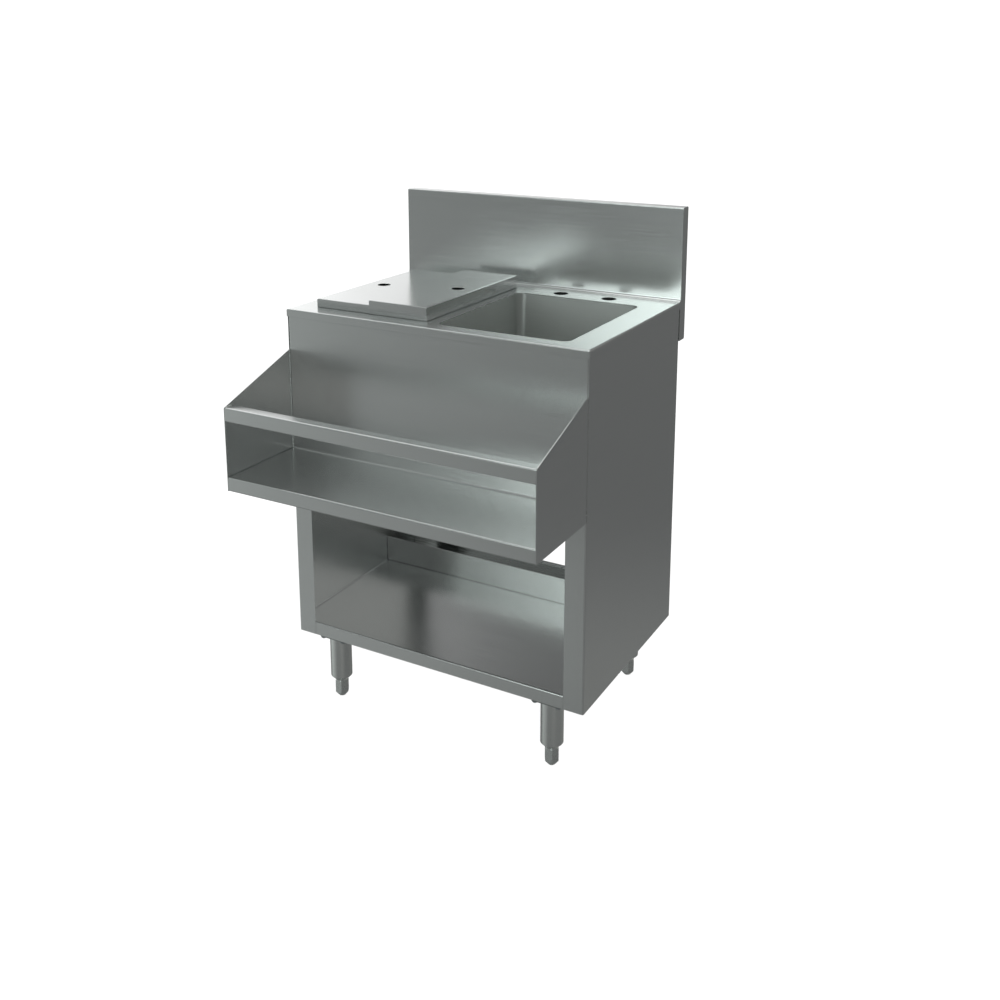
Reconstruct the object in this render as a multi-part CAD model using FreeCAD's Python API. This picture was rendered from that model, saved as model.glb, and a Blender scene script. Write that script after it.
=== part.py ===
"""Under-bar unit in folded stainless sheet: sink, covered ice bin, bottle rail and open cabinet.

Frame: +X to the right, +Y to the back, +Z up, seen by a person standing at the bottle rail.
The origin lies on the floor, midway across the width and midway between the front of the
bottle rail and the back of the backsplash.  All sizes are millimetres.
"""
import FreeCAD, Part
import math
import os

V = FreeCAD.Vector

# ---------------------------------------------------------------- driving sizes
# The countertop and the boxed backsplash, folded from one sheet
WIDTH = 609.6                # left to right
DECK_DEPTH = 406.4           # front edge to the face of the backsplash
DECK_HEIGHT = 774.7          # floor to the top face of the countertop
APRON = 14.0                 # edge of the countertop turned down at the front and the sides
SPLASH_DEPTH = 25.4
SPLASH_RISE = 177.8          # above the countertop
SPLASH_DROP = 76.2           # below it, behind the cabinet
COVE = 6.35                  # radius where the countertop turns up into the backsplash

# Sheet metal
SHEET = 1.2
BEND = 1.6                   # inside radius of an ordinary bend
SEAM = 0.3                   # gap left at an open seam

# The cabinet
CABINET_BOTTOM = 133.35      # floor to the bottom of the cabinet
SIDE_FLANGE = 38.1           # front edge of each side panel, turned in beside the opening
REAR_FLANGE = 25.4
TOP_FLANGE = 19.05
PANEL_RETURN = 20.0          # edges of the front panel, turned back
SHELF_LIP = 25.4
SHELF_DEPTH = 297.3          # front of the cabinet to the face of the upstand
UPSTAND = 54.0               # above the shelf
REAR_RAIL_HEIGHT = 54.4      # above the bottom of the cabinet
REAR_RAIL_DEPTH = 12.7
REAR_RAIL_LIP = 12.7
STIFFENER_WIDTH = 24.0
STIFFENER_HEIGHT = 20.0
DECK_RAIL_HEIGHT = 50.0      # channel under the back of the countertop
DECK_ANGLE_HEIGHT = 40.0     # angle under its front
CHANNEL_FLANGE = 15.0        # top flange of both
FOOT_FLANGE = 20.0           # flange of the upstand, under the shelf

# The bottle rail
RAIL_DEPTH = 177.8           # in front of the countertop
RAIL_DROP = 292.1            # top face of the countertop to the bottom of the rail
BAR_DROP = 139.7             # and to the top of the front bar
END_DROP = 76.2              # and to where the sloping ends meet the front panel
RAIL_LIP = 25.4              # height of the bar and of the tray's edge
BAR_DEPTH = 20.6
LIP_RETURN = 8.0
END_CORNER = 3.0

# The sink bowl
SINK_DEPTH = 254.0           # below the top face of the countertop
SINK_CORNER = 16.0
SINK_LEFT = 23.8             # right edge of the ice bin's covers to the opening
SINK_RIGHT = 52.4            # right edge of the countertop to the opening
SINK_FRONT = 30.5            # front edge of the countertop to the opening
SINK_BACK = 71.1             # face of the backsplash to the opening
FLOOR_BEND = 6.0             # radius where the walls of a bowl meet its floor
WELD_FLANGE = 10.0           # rim of a bowl, under the countertop
DISH_SLOPE = 8.0             # width of the sloping ring round a drain, which lies in a recess
FAUCET_SPREAD = 101.6
FAUCET_HOLE = 28.6
FAUCET_BACK = 41.4           # hole centres to the face of the backsplash

# The sink drain, a basket strainer
DRAIN_HOLE = 88.9
DRAIN_FLANGE = 114.3
DRAIN_CUP = 84.0
DRAIN_WALL = 2.0
DRAIN_FLANGE_THICKNESS = 2.0
DRAIN_MOUTH = 92.0           # across the ledge that carries the basket
MOUTH_DEPTH = 1.0            # top of the flange to the ledge
CUP_DEPTH = 36.0             # underside of the flange to the floor of the cup
OUTLET_THREAD = 47.4
OUTLET_BORE = 38.0
OUTLET_LENGTH = 32.0         # floor of the cup to the end of the outlet
GASKET = 3.0
LOCKNUT_HEIGHT = 9.0
LOCKNUT_LUGS = 8
TAIL_DIAMETER = 38.1
TAIL_LENGTH = 101.6
NECK_DIAMETER = 40.0         # thicker top of the tailpiece, inside its nut
NECK_LENGTH = 10.0
COUPLING_FLATS = 60.0
COUPLING_HEIGHT = 22.0
BASKET_DEPTH = 31.0          # ledge to the underside of the basket's floor
BASKET_WALL = 0.8
BASKET_GAP = 1.0             # between the basket and the cup, on the radius
BASKET_HOLE = 8.0
BASKET_HOLES = 8
BASKET_RING = 23.0           # radius of the ring of holes in the basket's floor
STOPPER_HEIGHT = 4.0
KNOB_DIAMETER = 18.0
KNOB_HEIGHT = 6.0
POST_DIAMETER = 9.0

# The ice bin: liner, foam and jacket
BIN_SIDE = 6.7               # outer edge of a cover to the side of the opening
BIN_END = 13.55              # ends of the covers to the ends of the opening
BIN_DEPTH = 203.2            # below the top face of the countertop
BIN_CORNER = 14.0
FOAM = 15.9
JACKET_SHEET = 0.8
BIN_DRAIN_FLANGE = 50.8
BIN_DRAIN_THREAD = 26.7
BIN_DRAIN_BORE = 19.0
BIN_DRAIN_BELOW = 38.0       # end of the drain below the jacket
BIN_SPIGOT = 25.4            # plain end for a hose
BIN_SPIGOT_LENGTH = 28.0
BIN_DRAIN_RIM = 2.5          # edge of the flange, round the recess for the perforated disc
BIN_DRAIN_THICKNESS = 3.0
BIN_NUT_FLATS = 38.0
BIN_NUT_HEIGHT = 8.0
DISC_THICKNESS = 1.5
DISC_HOLE = 5.0              # smaller than the bore below
DISC_HOLES = 6
DISC_RING = 6.5              # radius of the ring of holes, inside the bore

# The two folded covers over the ice bin; the right one is higher and laps the left one
COVER_LEFT = 40.0            # left edge of the countertop to the left cover
COVER_FRONT = 38.1           # front edge of the countertop to the covers
COVER_SPAN = 239.4           # both covers, left to right
COVER_BACK = 36.4            # face of the backsplash to the covers
COVER_LAP = 5.0
COVER_LOW = 15.9             # top of the left cover above the countertop
COVER_HIGH = 25.4            # top of the right cover
COVER_BEND = 0.8
COVER_SIDE_GAP = 0.4         # between the skirts of the two covers
COVER_OVER_GAP = 0.5         # between the top of one and the short lip of the other
COVER_SHORT_LIP = 8.0        # hidden edge of the left cover
COVER_FOOT_GAP = 0.3
FINGER_HOLE = 25.4
FINGER_INSET = 35.7          # outer edge of a cover to the centre of its hole

# Legs
LEG_SIDE = 75.0              # side of the countertop to the centre of a leg
LEG_END = 32.0               # front edge, or face of the backsplash, to the centre
LEG_DIAMETER = 41.3
LEG_WALL = 1.5
SWAGE_TOP = 44.7             # height above the floor where the tube begins to narrow
SWAGE_END = 35.3
SWAGE_DIAMETER = 26.0
PLATE_SIZE = 57.15
PLATE_THICKNESS = 3.0
PLATE_CORNER = 5.0
SCREW_DIAMETER = 6.0
SCREW_FLATS = 10.0
SCREW_HEAD = 4.0
SCREW_EDGE = 6.2             # edge of the plate to the centre of a screw
SCREW_LENGTH = 10.0          # below the head
INSERT_HEIGHT = 20.0         # threaded insert, above the swage
STUD_DIAMETER = 15.9
STUD_LENGTH = 44.0           # above the foot
FOOT_FLATS = 23.8
FOOT_CHAMFER = 8.7
FOOT_TIP = 13.0
FOOT_GAP = 0.3               # below the end of the tube

# Clearances
FIT = 0.05                   # radial, round pieces that fit or turn in one another
LOOSE = 0.3                  # screws in their holes, foam in its skins, a tube in its nut
BEYOND = 5.0                 # how far a cut runs past the face that it opens
SAME = 1e-6                  # places closer together than this are one place

# ---------------------------------------------------------------- places worked out from them
HALF = WIDTH / 2
RAIL_FRONT = -(RAIL_DEPTH + DECK_DEPTH + SPLASH_DEPTH) / 2
DECK_FRONT = RAIL_FRONT + RAIL_DEPTH
SPLASH_FACE = DECK_FRONT + DECK_DEPTH
BACK = SPLASH_FACE + SPLASH_DEPTH
SPLASH_TOP = DECK_HEIGHT + SPLASH_RISE
SPLASH_BOTTOM = DECK_HEIGHT - SPLASH_DROP

UNDER_DECK = DECK_HEIGHT - SHEET
BODY_SIDE = HALF - SHEET                 # outer face of a side panel, inside the apron
BODY_INSIDE = BODY_SIDE - SHEET
BODY_FRONT = DECK_FRONT + SHEET
BODY_BACK = SPLASH_FACE
SHELF_TOP = CABINET_BOTTOM + SHELF_LIP
UPSTAND_FACE = BODY_FRONT + SHELF_DEPTH

RAIL_BOTTOM = DECK_HEIGHT - RAIL_DROP
TRAY_TOP = RAIL_BOTTOM + RAIL_LIP
BAR_TOP = DECK_HEIGHT - BAR_DROP
BAR_BOTTOM = BAR_TOP - RAIL_LIP

COVERS_X = (-HALF + COVER_LEFT, -HALF + COVER_LEFT + COVER_SPAN)
COVERS_Y = (DECK_FRONT + COVER_FRONT, SPLASH_FACE - COVER_BACK)
COVER_WIDTH = (COVER_SPAN + COVER_LAP) / 2

SINK_X = (COVERS_X[1] + SINK_LEFT, HALF - SINK_RIGHT)
SINK_Y = (DECK_FRONT + SINK_FRONT, SPLASH_FACE - SINK_BACK)
SINK_AXIS = (sum(SINK_X) / 2, sum(SINK_Y) / 2)
SINK_FLOOR = DECK_HEIGHT - SINK_DEPTH
DRAIN_SEAT = SINK_FLOOR - DRAIN_FLANGE_THICKNESS   # so that the flange is flush with the floor
LEDGE = SINK_FLOOR - MOUTH_DEPTH
CUP_RADIUS = DRAIN_CUP / 2 - DRAIN_WALL
CUP_FLOOR = DRAIN_SEAT - CUP_DEPTH
CUP_UNDERSIDE = CUP_FLOOR - DRAIN_WALL
OUTLET_END = CUP_FLOOR - OUTLET_LENGTH
TAIL_END = OUTLET_END - TAIL_LENGTH
NECK_END = OUTLET_END - NECK_LENGTH

BIN_AXIS = (sum(COVERS_X) / 2, sum(COVERS_Y) / 2)
BIN_X = (COVERS_X[0] + BIN_SIDE, COVERS_X[1] - BIN_SIDE)
BIN_Y = (COVERS_Y[0] + BIN_END, COVERS_Y[1] - BIN_END)
BIN_FLOOR = DECK_HEIGHT - BIN_DEPTH
BIN_SEAT = BIN_FLOOR - BIN_DRAIN_THICKNESS
DISC_LEDGE = BIN_FLOOR - DISC_THICKNESS
FOAM_GROWTH = SHEET + LOOSE + FOAM       # liner's inner wall to the foam's outer wall
FOAM_BOTTOM = BIN_SEAT - FOAM_GROWTH
JACKET_BOTTOM = FOAM_BOTTOM - LOOSE - JACKET_SHEET
BIN_DRAIN_END = JACKET_BOTTOM - BIN_DRAIN_BELOW

LEG_X = HALF - LEG_SIDE
LEG_FRONT = DECK_FRONT + LEG_END
LEG_BACK = SPLASH_FACE - LEG_END
PLATE_BOTTOM = CABINET_BOTTOM - PLATE_THICKNESS
CHANNEL_TOP = SHELF_TOP - 2 * SHEET      # leg channels reach up to the flange of the upstand


# ---------------------------------------------------------------- forms
def box(x, y, z):
    """Block between two coordinates on each axis."""
    return Part.makeBox(x[1] - x[0], y[1] - y[0], z[1] - z[0], V(x[0], y[0], z[0]))


def grown(pair, amount):
    """The pair of coordinates with each end moved outward."""
    return (pair[0] - amount, pair[1] + amount)


def cylinder(diameter, axis, z):
    """Upright round bar between two heights."""
    return Part.makeCylinder(diameter / 2, z[1] - z[0], V(axis[0], axis[1], z[0]))


def hexagon(flats, axis, z):
    """Upright hexagonal bar between two heights."""
    reach = flats / math.sqrt(3)
    corners = [V(axis[0] + reach * math.cos(math.radians(60 * step)),
                 axis[1] + reach * math.sin(math.radians(60 * step)), z[0]) for step in range(7)]
    return Part.Face(Part.makePolygon(corners)).extrude(V(0, 0, z[1] - z[0]))


def turned(outline, axis):
    """Outline of radius and height pairs, turned round an upright axis."""
    points = [V(axis[0] + radius, axis[1], height) for radius, height in outline]
    face = Part.Face(Part.makePolygon(points + points[:1]))
    return face.revolve(V(axis[0], axis[1], 0), V(0, 0, 1), 360)


def heading(start, end):
    """Unit direction from one 2-D point to another."""
    length = math.dist(start, end)
    return ((end[0] - start[0]) / length, (end[1] - start[1]) / length)


def beside(points, distance):
    """The run of 2-D points moved sideways, to the left where the distance is positive."""
    ways = [heading(start, end) for start, end in zip(points, points[1:])]
    moved = []
    for point, before, after in zip(points, ways[:1] + ways, ways + ways[-1:]):
        share = distance / (1 + before[0] * after[0] + before[1] * after[1])
        moved.append((point[0] - (before[1] + after[1]) * share,
                      point[1] + (before[0] + after[0]) * share))
    return moved


def run_edges(points, radii, place):
    """Edges along the points, with an arc at each inner point."""
    edges = []
    start = points[0]
    for before, corner, after, radius in zip(points, points[1:], points[2:], radii):
        back = heading(corner, before)
        ahead = heading(corner, after)
        half = math.acos(back[0] * ahead[0] + back[1] * ahead[1]) / 2
        inward = heading((0, 0), (back[0] + ahead[0], back[1] + ahead[1]))
        reach = radius / math.tan(half)
        depth = radius / math.sin(half) - radius
        first, middle, last = [(corner[0] + way[0] * far, corner[1] + way[1] * far)
                               for way, far in ((back, reach), (inward, depth), (ahead, reach))]
        if math.dist(start, first) > SAME:
            edges.append(Part.makeLine(place(*start), place(*first)))
        edges.append(Part.Arc(place(*first), place(*middle), place(*last)).toShape())
        start = last
    edges.append(Part.makeLine(place(*start), place(*points[-1])))
    return edges


# How a 2-D point lies in a plane square to the named axis, and that axis
PLANES = {
    "x": (lambda at: lambda u, v: V(at, u, v), V(1, 0, 0)),
    "y": (lambda at: lambda u, v: V(u, at, v), V(0, 1, 0)),
    "z": (lambda at: lambda u, v: V(u, v, at), V(0, 0, 1)),
}


def folded(points, side, axis, ends, bends=None):
    """Sheet folded along the points and drawn along the axis between its two ends.

    The points are corners of the outer face.  The sheet lies to their left (side 1) or to
    their right (side -1).  Each bend is the inside radius at one inner point.
    """
    bends = bends or [BEND] * (len(points) - 2)
    behind = beside(points, side * SHEET)
    ways = [heading(start, end) for start, end in zip(points, points[1:])]
    face_radii = []
    back_radii = []
    for before, after, bend in zip(ways, ways[1:], bends):
        turn = before[0] * after[1] - before[1] * after[0]
        sheet_inside = turn * side > 0
        face_radii.append(bend + SHEET if sheet_inside else bend)
        back_radii.append(bend if sheet_inside else bend + SHEET)
    plane, direction = PLANES[axis]
    place = plane(ends[0])
    edges = run_edges(points, face_radii, place) + run_edges(behind, back_radii, place)
    edges.append(Part.makeLine(place(*points[0]), place(*behind[0])))
    edges.append(Part.makeLine(place(*points[-1]), place(*behind[-1])))
    face = Part.Face(Part.Wire(Part.__sortEdges__(edges)))
    return face.extrude(direction * (ends[1] - ends[0]))


def rounded_block(x, y, z, radius, face, square=""):
    """Block with the edges round one face rounded, but for those on the square sides.

    Sides are named by direction and axis, such as "+z" for the top.
    """
    planes = {"-x": (0, x[0]), "+x": (0, x[1]), "-y": (1, y[0]),
              "+y": (1, y[1]), "-z": (2, z[0]), "+z": (2, z[1])}

    def lies_on(edge, name):
        index, level = planes[name]
        return abs(edge.CenterOfMass[index] - level) < SAME

    block = box(x, y, z)
    edges = [edge for edge in block.Edges
             if lies_on(edge, face) and not any(lies_on(edge, name) for name in square.split())]
    return block.makeFillet(radius, edges)


def pan(x, y, z, face, open_sides, sheet=SHEET, bend=BEND):
    """Sheet pan of the outer size given: one flat face, and walls folded from its edges.

    The side across from the face is open, and so are any others named.  The corners
    between two walls are welded and ground square.
    """
    spans = {"x": list(x), "y": list(y), "z": list(z)}
    for name, span in spans.items():
        span[0] += -BEYOND if "-" + name in open_sides else sheet
        span[1] -= -BEYOND if "+" + name in open_sides else sheet
    outer = rounded_block(x, y, z, bend + sheet, face, open_sides)
    return outer.cut(rounded_block(spans["x"], spans["y"], spans["z"], bend, face, open_sides))


def upright_prism(x, y, z, corner):
    """Block with rounded upright edges."""
    block = box(x, y, z)
    edges = [edge for edge in block.Edges if abs(edge.tangentAt(edge.FirstParameter).z) > 0.5]
    return block.makeFillet(corner, edges)


def well(x, y, z, corner, recess, growth):
    """Solid as large as the space in a bowl, grown outward, with a recess in its floor.

    The recess is its axis, the radius of its flat middle and its depth.
    """
    block = upright_prism(grown(x, growth), grown(y, growth), (z[0] - growth, z[1]), corner + growth)
    floor = min(block.Faces, key=lambda face: face.CenterOfMass.z)
    block = block.makeFillet(FLOOR_BEND + growth, floor.Edges)
    axis, flat, depth = recess
    cone = Part.makeCone(flat + growth, flat + growth + DISH_SLOPE, depth,
                         V(axis[0], axis[1], z[0] - depth - growth))
    return block.fuse(cone)


def bowl(x, y, floor, corner, recess, hole):
    """Drawn bowl with a rim that lies under the countertop, and a hole for its drain."""
    rim = upright_prism(grown(x, WELD_FLANGE), grown(y, WELD_FLANGE), (UNDER_DECK - SHEET, UNDER_DECK),
                        corner + WELD_FLANGE)
    outside = well(x, y, (floor, UNDER_DECK), corner, recess, SHEET)
    inside = well(x, y, (floor, UNDER_DECK + BEYOND), corner, recess, 0)
    drain = cylinder(hole, recess[0], (floor - recess[2] - BEYOND, floor + BEYOND))
    return rim.fuse(outside).cut(inside).cut(drain)


def ring_of_holes(radius, count, diameter, axis, z):
    """Upright drills, evenly spaced on a ring."""
    drills = []
    for step in range(count):
        angle = 2 * math.pi * step / count
        centre = (axis[0] + radius * math.cos(angle), axis[1] + radius * math.sin(angle))
        drills.append(cylinder(diameter, centre, z))
    return drills


def mirrored(shape):
    """The same form on the other side of the unit."""
    return shape.mirror(V(0, 0, 0), V(1, 0, 0))


PARTS = {}


# ---------------------------------------------------------------- countertop and backsplash
def countertop():
    """Deck with turned-down edges that turns up into a boxed backsplash, with its cut-outs."""
    cove_start = SPLASH_FACE - COVE
    deck = pan((-HALF, HALF), (DECK_FRONT, cove_start), (DECK_HEIGHT - APRON, DECK_HEIGHT), "+z",
               "-z +y")
    splash = folded([(cove_start, DECK_HEIGHT), (SPLASH_FACE, DECK_HEIGHT), (SPLASH_FACE, SPLASH_TOP),
                     (BACK, SPLASH_TOP), (BACK, SPLASH_BOTTOM), (SPLASH_FACE, SPLASH_BOTTOM)],
                    -1, "x", (-HALF, HALF), [COVE, BEND, BEND, BEND])
    shape = deck.fuse(splash)
    for side in (-1, 1):
        across = sorted((side * HALF, side * (HALF - SHEET)))
        shape = shape.fuse(box(across, (cove_start, SPLASH_FACE), (DECK_HEIGHT - APRON, DECK_HEIGHT)))
    through = (UNDER_DECK - BEYOND, DECK_HEIGHT + BEYOND)
    cuts = [upright_prism(SINK_X, SINK_Y, through, SINK_CORNER),
            upright_prism(BIN_X, BIN_Y, through, BIN_CORNER)]
    for side in (-1, 1):
        centre = (SINK_AXIS[0] + side * FAUCET_SPREAD / 2, SPLASH_FACE - FAUCET_BACK)
        cuts.append(cylinder(FAUCET_HOLE, centre, through))
    return shape.cut(cuts).removeSplitter()


def splash_end():
    """Plate that closes the right end of the backsplash, flush with the folded sheet."""
    inner = SPLASH_FACE + SHEET
    back = BACK - SHEET
    low = SPLASH_BOTTOM + SHEET
    corners = [(SPLASH_FACE, low), (back, low), (back, SPLASH_TOP - SHEET), (inner, SPLASH_TOP - SHEET),
               (inner, DECK_HEIGHT + COVE - 2 * SHEET), (SPLASH_FACE, DECK_HEIGHT)]
    points = [V(HALF - SHEET, y, z) for y, z in corners]
    plate = Part.Face(Part.makePolygon(points + points[:1])).extrude(V(SHEET, 0, 0))
    folds = [edge for edge in plate.Edges if abs(edge.tangentAt(edge.FirstParameter).x) > 0.5
             and edge.CenterOfMass.y > SPLASH_FACE + SHEET / 2
             and abs(edge.CenterOfMass.z - DECK_HEIGHT) > COVE]
    return plate.makeFillet(BEND, folds)


PARTS["countertop"] = countertop()
PARTS["splash_end_right"] = splash_end()
PARTS["splash_end_left"] = mirrored(splash_end())


# ---------------------------------------------------------------- cabinet
def side_panel():
    """Right side: flanged at the front below the rail, at the back, and under the countertop."""
    tangent = UNDER_DECK - BEND - SHEET
    rear = [(BODY_SIDE, BODY_BACK), (BODY_SIDE - REAR_FLANGE, BODY_BACK)]
    lower = folded([(BODY_SIDE - SIDE_FLANGE, BODY_FRONT), (BODY_SIDE, BODY_FRONT)] + rear,
                   1, "z", (CABINET_BOTTOM, RAIL_BOTTOM))
    upper = folded([(BODY_SIDE, BODY_FRONT)] + rear, 1, "z", (RAIL_BOTTOM, tangent))
    ends = (BODY_FRONT + PANEL_RETURN + SHEET, BODY_BACK - SHEET - CHANNEL_FLANGE - SHEET)
    top = folded([(BODY_SIDE, tangent - SHEET), (BODY_SIDE, UNDER_DECK),
                  (BODY_SIDE - TOP_FLANGE, UNDER_DECK)], 1, "y", ends)
    return lower.fuse([upper, top]).removeSplitter()


def front_panel():
    """Closed front above the bottle rail's floor, set between the side panels."""
    return pan((-BODY_INSIDE, BODY_INSIDE), (BODY_FRONT, BODY_FRONT + PANEL_RETURN),
               (RAIL_BOTTOM, UNDER_DECK - BEND), "-y", "+y +z")


def lower_shelf():
    """Shelf with turned-down front and sides, notched round the flanges of the side panels."""
    shelf = pan((-BODY_INSIDE, BODY_INSIDE), (BODY_FRONT, UPSTAND_FACE - BEND),
                (CABINET_BOTTOM, SHELF_TOP), "+z", "-z +y")
    inner = BODY_SIDE - SIDE_FLANGE - SEAM
    notch = box((inner, HALF), (BODY_FRONT - BEYOND, BODY_FRONT + SHEET + BEND),
                (CABINET_BOTTOM - BEYOND, SHELF_TOP + BEYOND))
    return shelf.cut([notch, mirrored(notch)])


def leg_channel():
    """Right channel that carries two legs, under the shelf and the rear rail."""
    across = (LEG_X - PLATE_SIZE / 2, LEG_X + PLATE_SIZE / 2)
    ends = (BODY_FRONT + SHEET + SEAM, BODY_BACK - SHEET)
    channel = folded([(across[0], CHANNEL_TOP), (across[0], CABINET_BOTTOM),
                      (across[1], CABINET_BOTTOM), (across[1], CHANNEL_TOP)], 1, "y", ends)
    relief = box(grown(across, BEYOND), (BODY_BACK - SHEET - REAR_FLANGE - SEAM, BODY_BACK),
                 (CABINET_BOTTOM + SHEET, CHANNEL_TOP + BEYOND))
    holes = [cylinder(SCREW_DIAMETER + 2 * FIT, centre, (CABINET_BOTTOM - BEYOND, CABINET_BOTTOM + BEYOND))
             for centre in screw_centres((LEG_X, LEG_FRONT)) + screw_centres((LEG_X, LEG_BACK))]
    return channel.cut([relief] + holes)


def screw_centres(axis):
    """Places of the four screws of one leg plate."""
    reach = PLATE_SIZE / 2 - SCREW_EDGE
    return [(axis[0] + across * reach, axis[1] + along * reach) for across in (-1, 1) for along in (-1, 1)]


def shelf_stiffener():
    """Hat channel under the middle of the shelf, between the leg channels."""
    middle = (BODY_FRONT + UPSTAND_FACE) / 2
    under = SHELF_TOP - SHEET
    low = under - STIFFENER_HEIGHT
    half = STIFFENER_WIDTH / 2
    points = [(middle - half - CHANNEL_FLANGE, under), (middle - half, under), (middle - half, low),
              (middle + half, low), (middle + half, under), (middle + half + CHANNEL_FLANGE, under)]
    reach = LEG_X - PLATE_SIZE / 2
    return folded(points, -1, "x", (-reach, reach))


BETWEEN_SIDES = (-BODY_INSIDE, BODY_INSIDE)
BETWEEN_BENDS = grown(BETWEEN_SIDES, -BEND)
RAIL_WEB = BODY_BACK - SHEET             # back face of a cross rail, on the rear flanges


def shelf_upstand():
    """Plate across the back of the shelf, its foot flange under the shelf and inside its edges."""
    points = [(UPSTAND_FACE - FOOT_FLANGE, SHELF_TOP - SHEET), (UPSTAND_FACE, SHELF_TOP - SHEET),
              (UPSTAND_FACE, SHELF_TOP + UPSTAND)]
    plate = folded(points, -1, "x", BETWEEN_SIDES)
    notch = box((BODY_INSIDE - SHEET - BEND, HALF),
                (UPSTAND_FACE - FOOT_FLANGE - BEYOND, UPSTAND_FACE - BEND),
                (CABINET_BOTTOM, SHELF_TOP))
    return plate.cut([notch, mirrored(notch)])


def rear_rail():
    """Lipped channel low across the back, its flange on the leg channels."""
    lip = RAIL_WEB - REAR_RAIL_DEPTH
    top = CABINET_BOTTOM + REAR_RAIL_HEIGHT
    low = CABINET_BOTTOM + SHEET
    rail = folded([(lip, top - REAR_RAIL_LIP), (lip, top), (RAIL_WEB, top), (RAIL_WEB, low),
                   (RAIL_WEB - REAR_FLANGE, low)], -1, "x", BETWEEN_BENDS)
    return rail.cut([cylinder(SCREW_DIAMETER + 2 * LOOSE, centre, grown((low, low), BEYOND))
                     for side in (-1, 1) for centre in screw_centres((side * LEG_X, LEG_BACK))])


PARTS["side_panel_right"] = side_panel()
PARTS["side_panel_left"] = mirrored(side_panel())
PARTS["front_panel"] = front_panel()
PARTS["lower_shelf"] = lower_shelf()
PARTS["shelf_upstand"] = shelf_upstand()
PARTS["rear_rail"] = rear_rail()
PARTS["deck_rear_channel"] = folded(
    [(RAIL_WEB - CHANNEL_FLANGE, UNDER_DECK), (RAIL_WEB, UNDER_DECK),
     (RAIL_WEB, UNDER_DECK - DECK_RAIL_HEIGHT), (RAIL_WEB - CHANNEL_FLANGE, UNDER_DECK - DECK_RAIL_HEIGHT)],
    -1, "x", BETWEEN_BENDS)
PARTS["deck_front_angle"] = folded(
    [(BODY_FRONT + SHEET, UNDER_DECK - DECK_ANGLE_HEIGHT), (BODY_FRONT + SHEET, UNDER_DECK),
     (BODY_FRONT + SHEET + CHANNEL_FLANGE, UNDER_DECK)], -1, "x", grown(BETWEEN_BENDS, -SHEET))
PARTS["shelf_stiffener"] = shelf_stiffener()
PARTS["leg_channel_right"] = leg_channel()
PARTS["leg_channel_left"] = mirrored(leg_channel())


# ---------------------------------------------------------------- bottle rail
def rail_end():
    """Right end plate, with a sloping top edge."""
    corners = [(RAIL_FRONT, RAIL_BOTTOM), (BODY_FRONT, RAIL_BOTTOM),
               (BODY_FRONT, DECK_HEIGHT - END_DROP), (RAIL_FRONT, BAR_TOP)]
    points = [V(BODY_INSIDE, y, z) for y, z in corners]
    plate = Part.Face(Part.makePolygon(points + points[:1])).extrude(V(SHEET, 0, 0))
    nose = [edge for edge in plate.Edges if abs(edge.tangentAt(edge.FirstParameter).x) > 0.5
            and edge.CenterOfMass.y < RAIL_FRONT + SHEET and edge.CenterOfMass.z > TRAY_TOP]
    return plate.makeFillet(END_CORNER, nose)


PARTS["bottle_rail_end_right"] = rail_end()
PARTS["bottle_rail_end_left"] = mirrored(rail_end())
PARTS["bottle_rail_bar"] = folded(
    [(RAIL_FRONT + BAR_DEPTH, BAR_TOP), (RAIL_FRONT, BAR_TOP), (RAIL_FRONT, BAR_BOTTOM),
     (RAIL_FRONT + LIP_RETURN, BAR_BOTTOM)], 1, "x", BETWEEN_SIDES)
PARTS["bottle_rail_tray"] = folded(
    [(BODY_FRONT, RAIL_BOTTOM), (BODY_FRONT, TRAY_TOP), (RAIL_FRONT, TRAY_TOP),
     (RAIL_FRONT, RAIL_BOTTOM), (RAIL_FRONT + LIP_RETURN, RAIL_BOTTOM)], 1, "x", BETWEEN_SIDES)


# ---------------------------------------------------------------- sink and its drain
def drain_body():
    """Flanged cup with a ledge in its mouth and a hole in its floor."""
    half = DRAIN_CUP / 2
    edge = DRAIN_FLANGE / 2
    rounding = DRAIN_FLANGE_THICKNESS / 2
    return turned([(half, DRAIN_SEAT), (edge, DRAIN_SEAT), (edge, DRAIN_SEAT + rounding),
                   (edge - rounding, SINK_FLOOR), (DRAIN_MOUTH / 2, SINK_FLOOR), (DRAIN_MOUTH / 2, LEDGE),
                   (CUP_RADIUS, LEDGE), (CUP_RADIUS, CUP_FLOOR), (OUTLET_BORE / 2, CUP_FLOOR),
                   (OUTLET_BORE / 2, CUP_UNDERSIDE), (half, CUP_UNDERSIDE)], SINK_AXIS)


def drain_outlet():
    """Threaded tube brazed to the underside of the cup."""
    heights = (OUTLET_END, CUP_UNDERSIDE)
    return cylinder(OUTLET_THREAD, SINK_AXIS, heights).cut(
        cylinder(OUTLET_BORE, SINK_AXIS, grown(heights, BEYOND)))


def drain_locknut():
    """Ring nut that clamps the drain to the bowl, with square notches for its wrench."""
    top = DRAIN_SEAT - SHEET - GASKET
    heights = (top - LOCKNUT_HEIGHT, top)
    ring = cylinder(DRAIN_FLANGE, SINK_AXIS, heights).cut(cylinder(DRAIN_CUP + 2 * FIT, SINK_AXIS, heights))
    depth = LOCKNUT_HEIGHT / 2
    notch = box((DRAIN_FLANGE / 2 - depth, DRAIN_FLANGE), (-depth, depth), heights)
    notches = []
    for step in range(LOCKNUT_LUGS):
        turn = notch.copy()
        turn.rotate(V(0, 0, 0), V(0, 0, 1), 360 * step / LOCKNUT_LUGS)
        turn.translate(V(SINK_AXIS[0], SINK_AXIS[1], 0))
        notches.append(turn)
    return ring.cut(notches)


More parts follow.
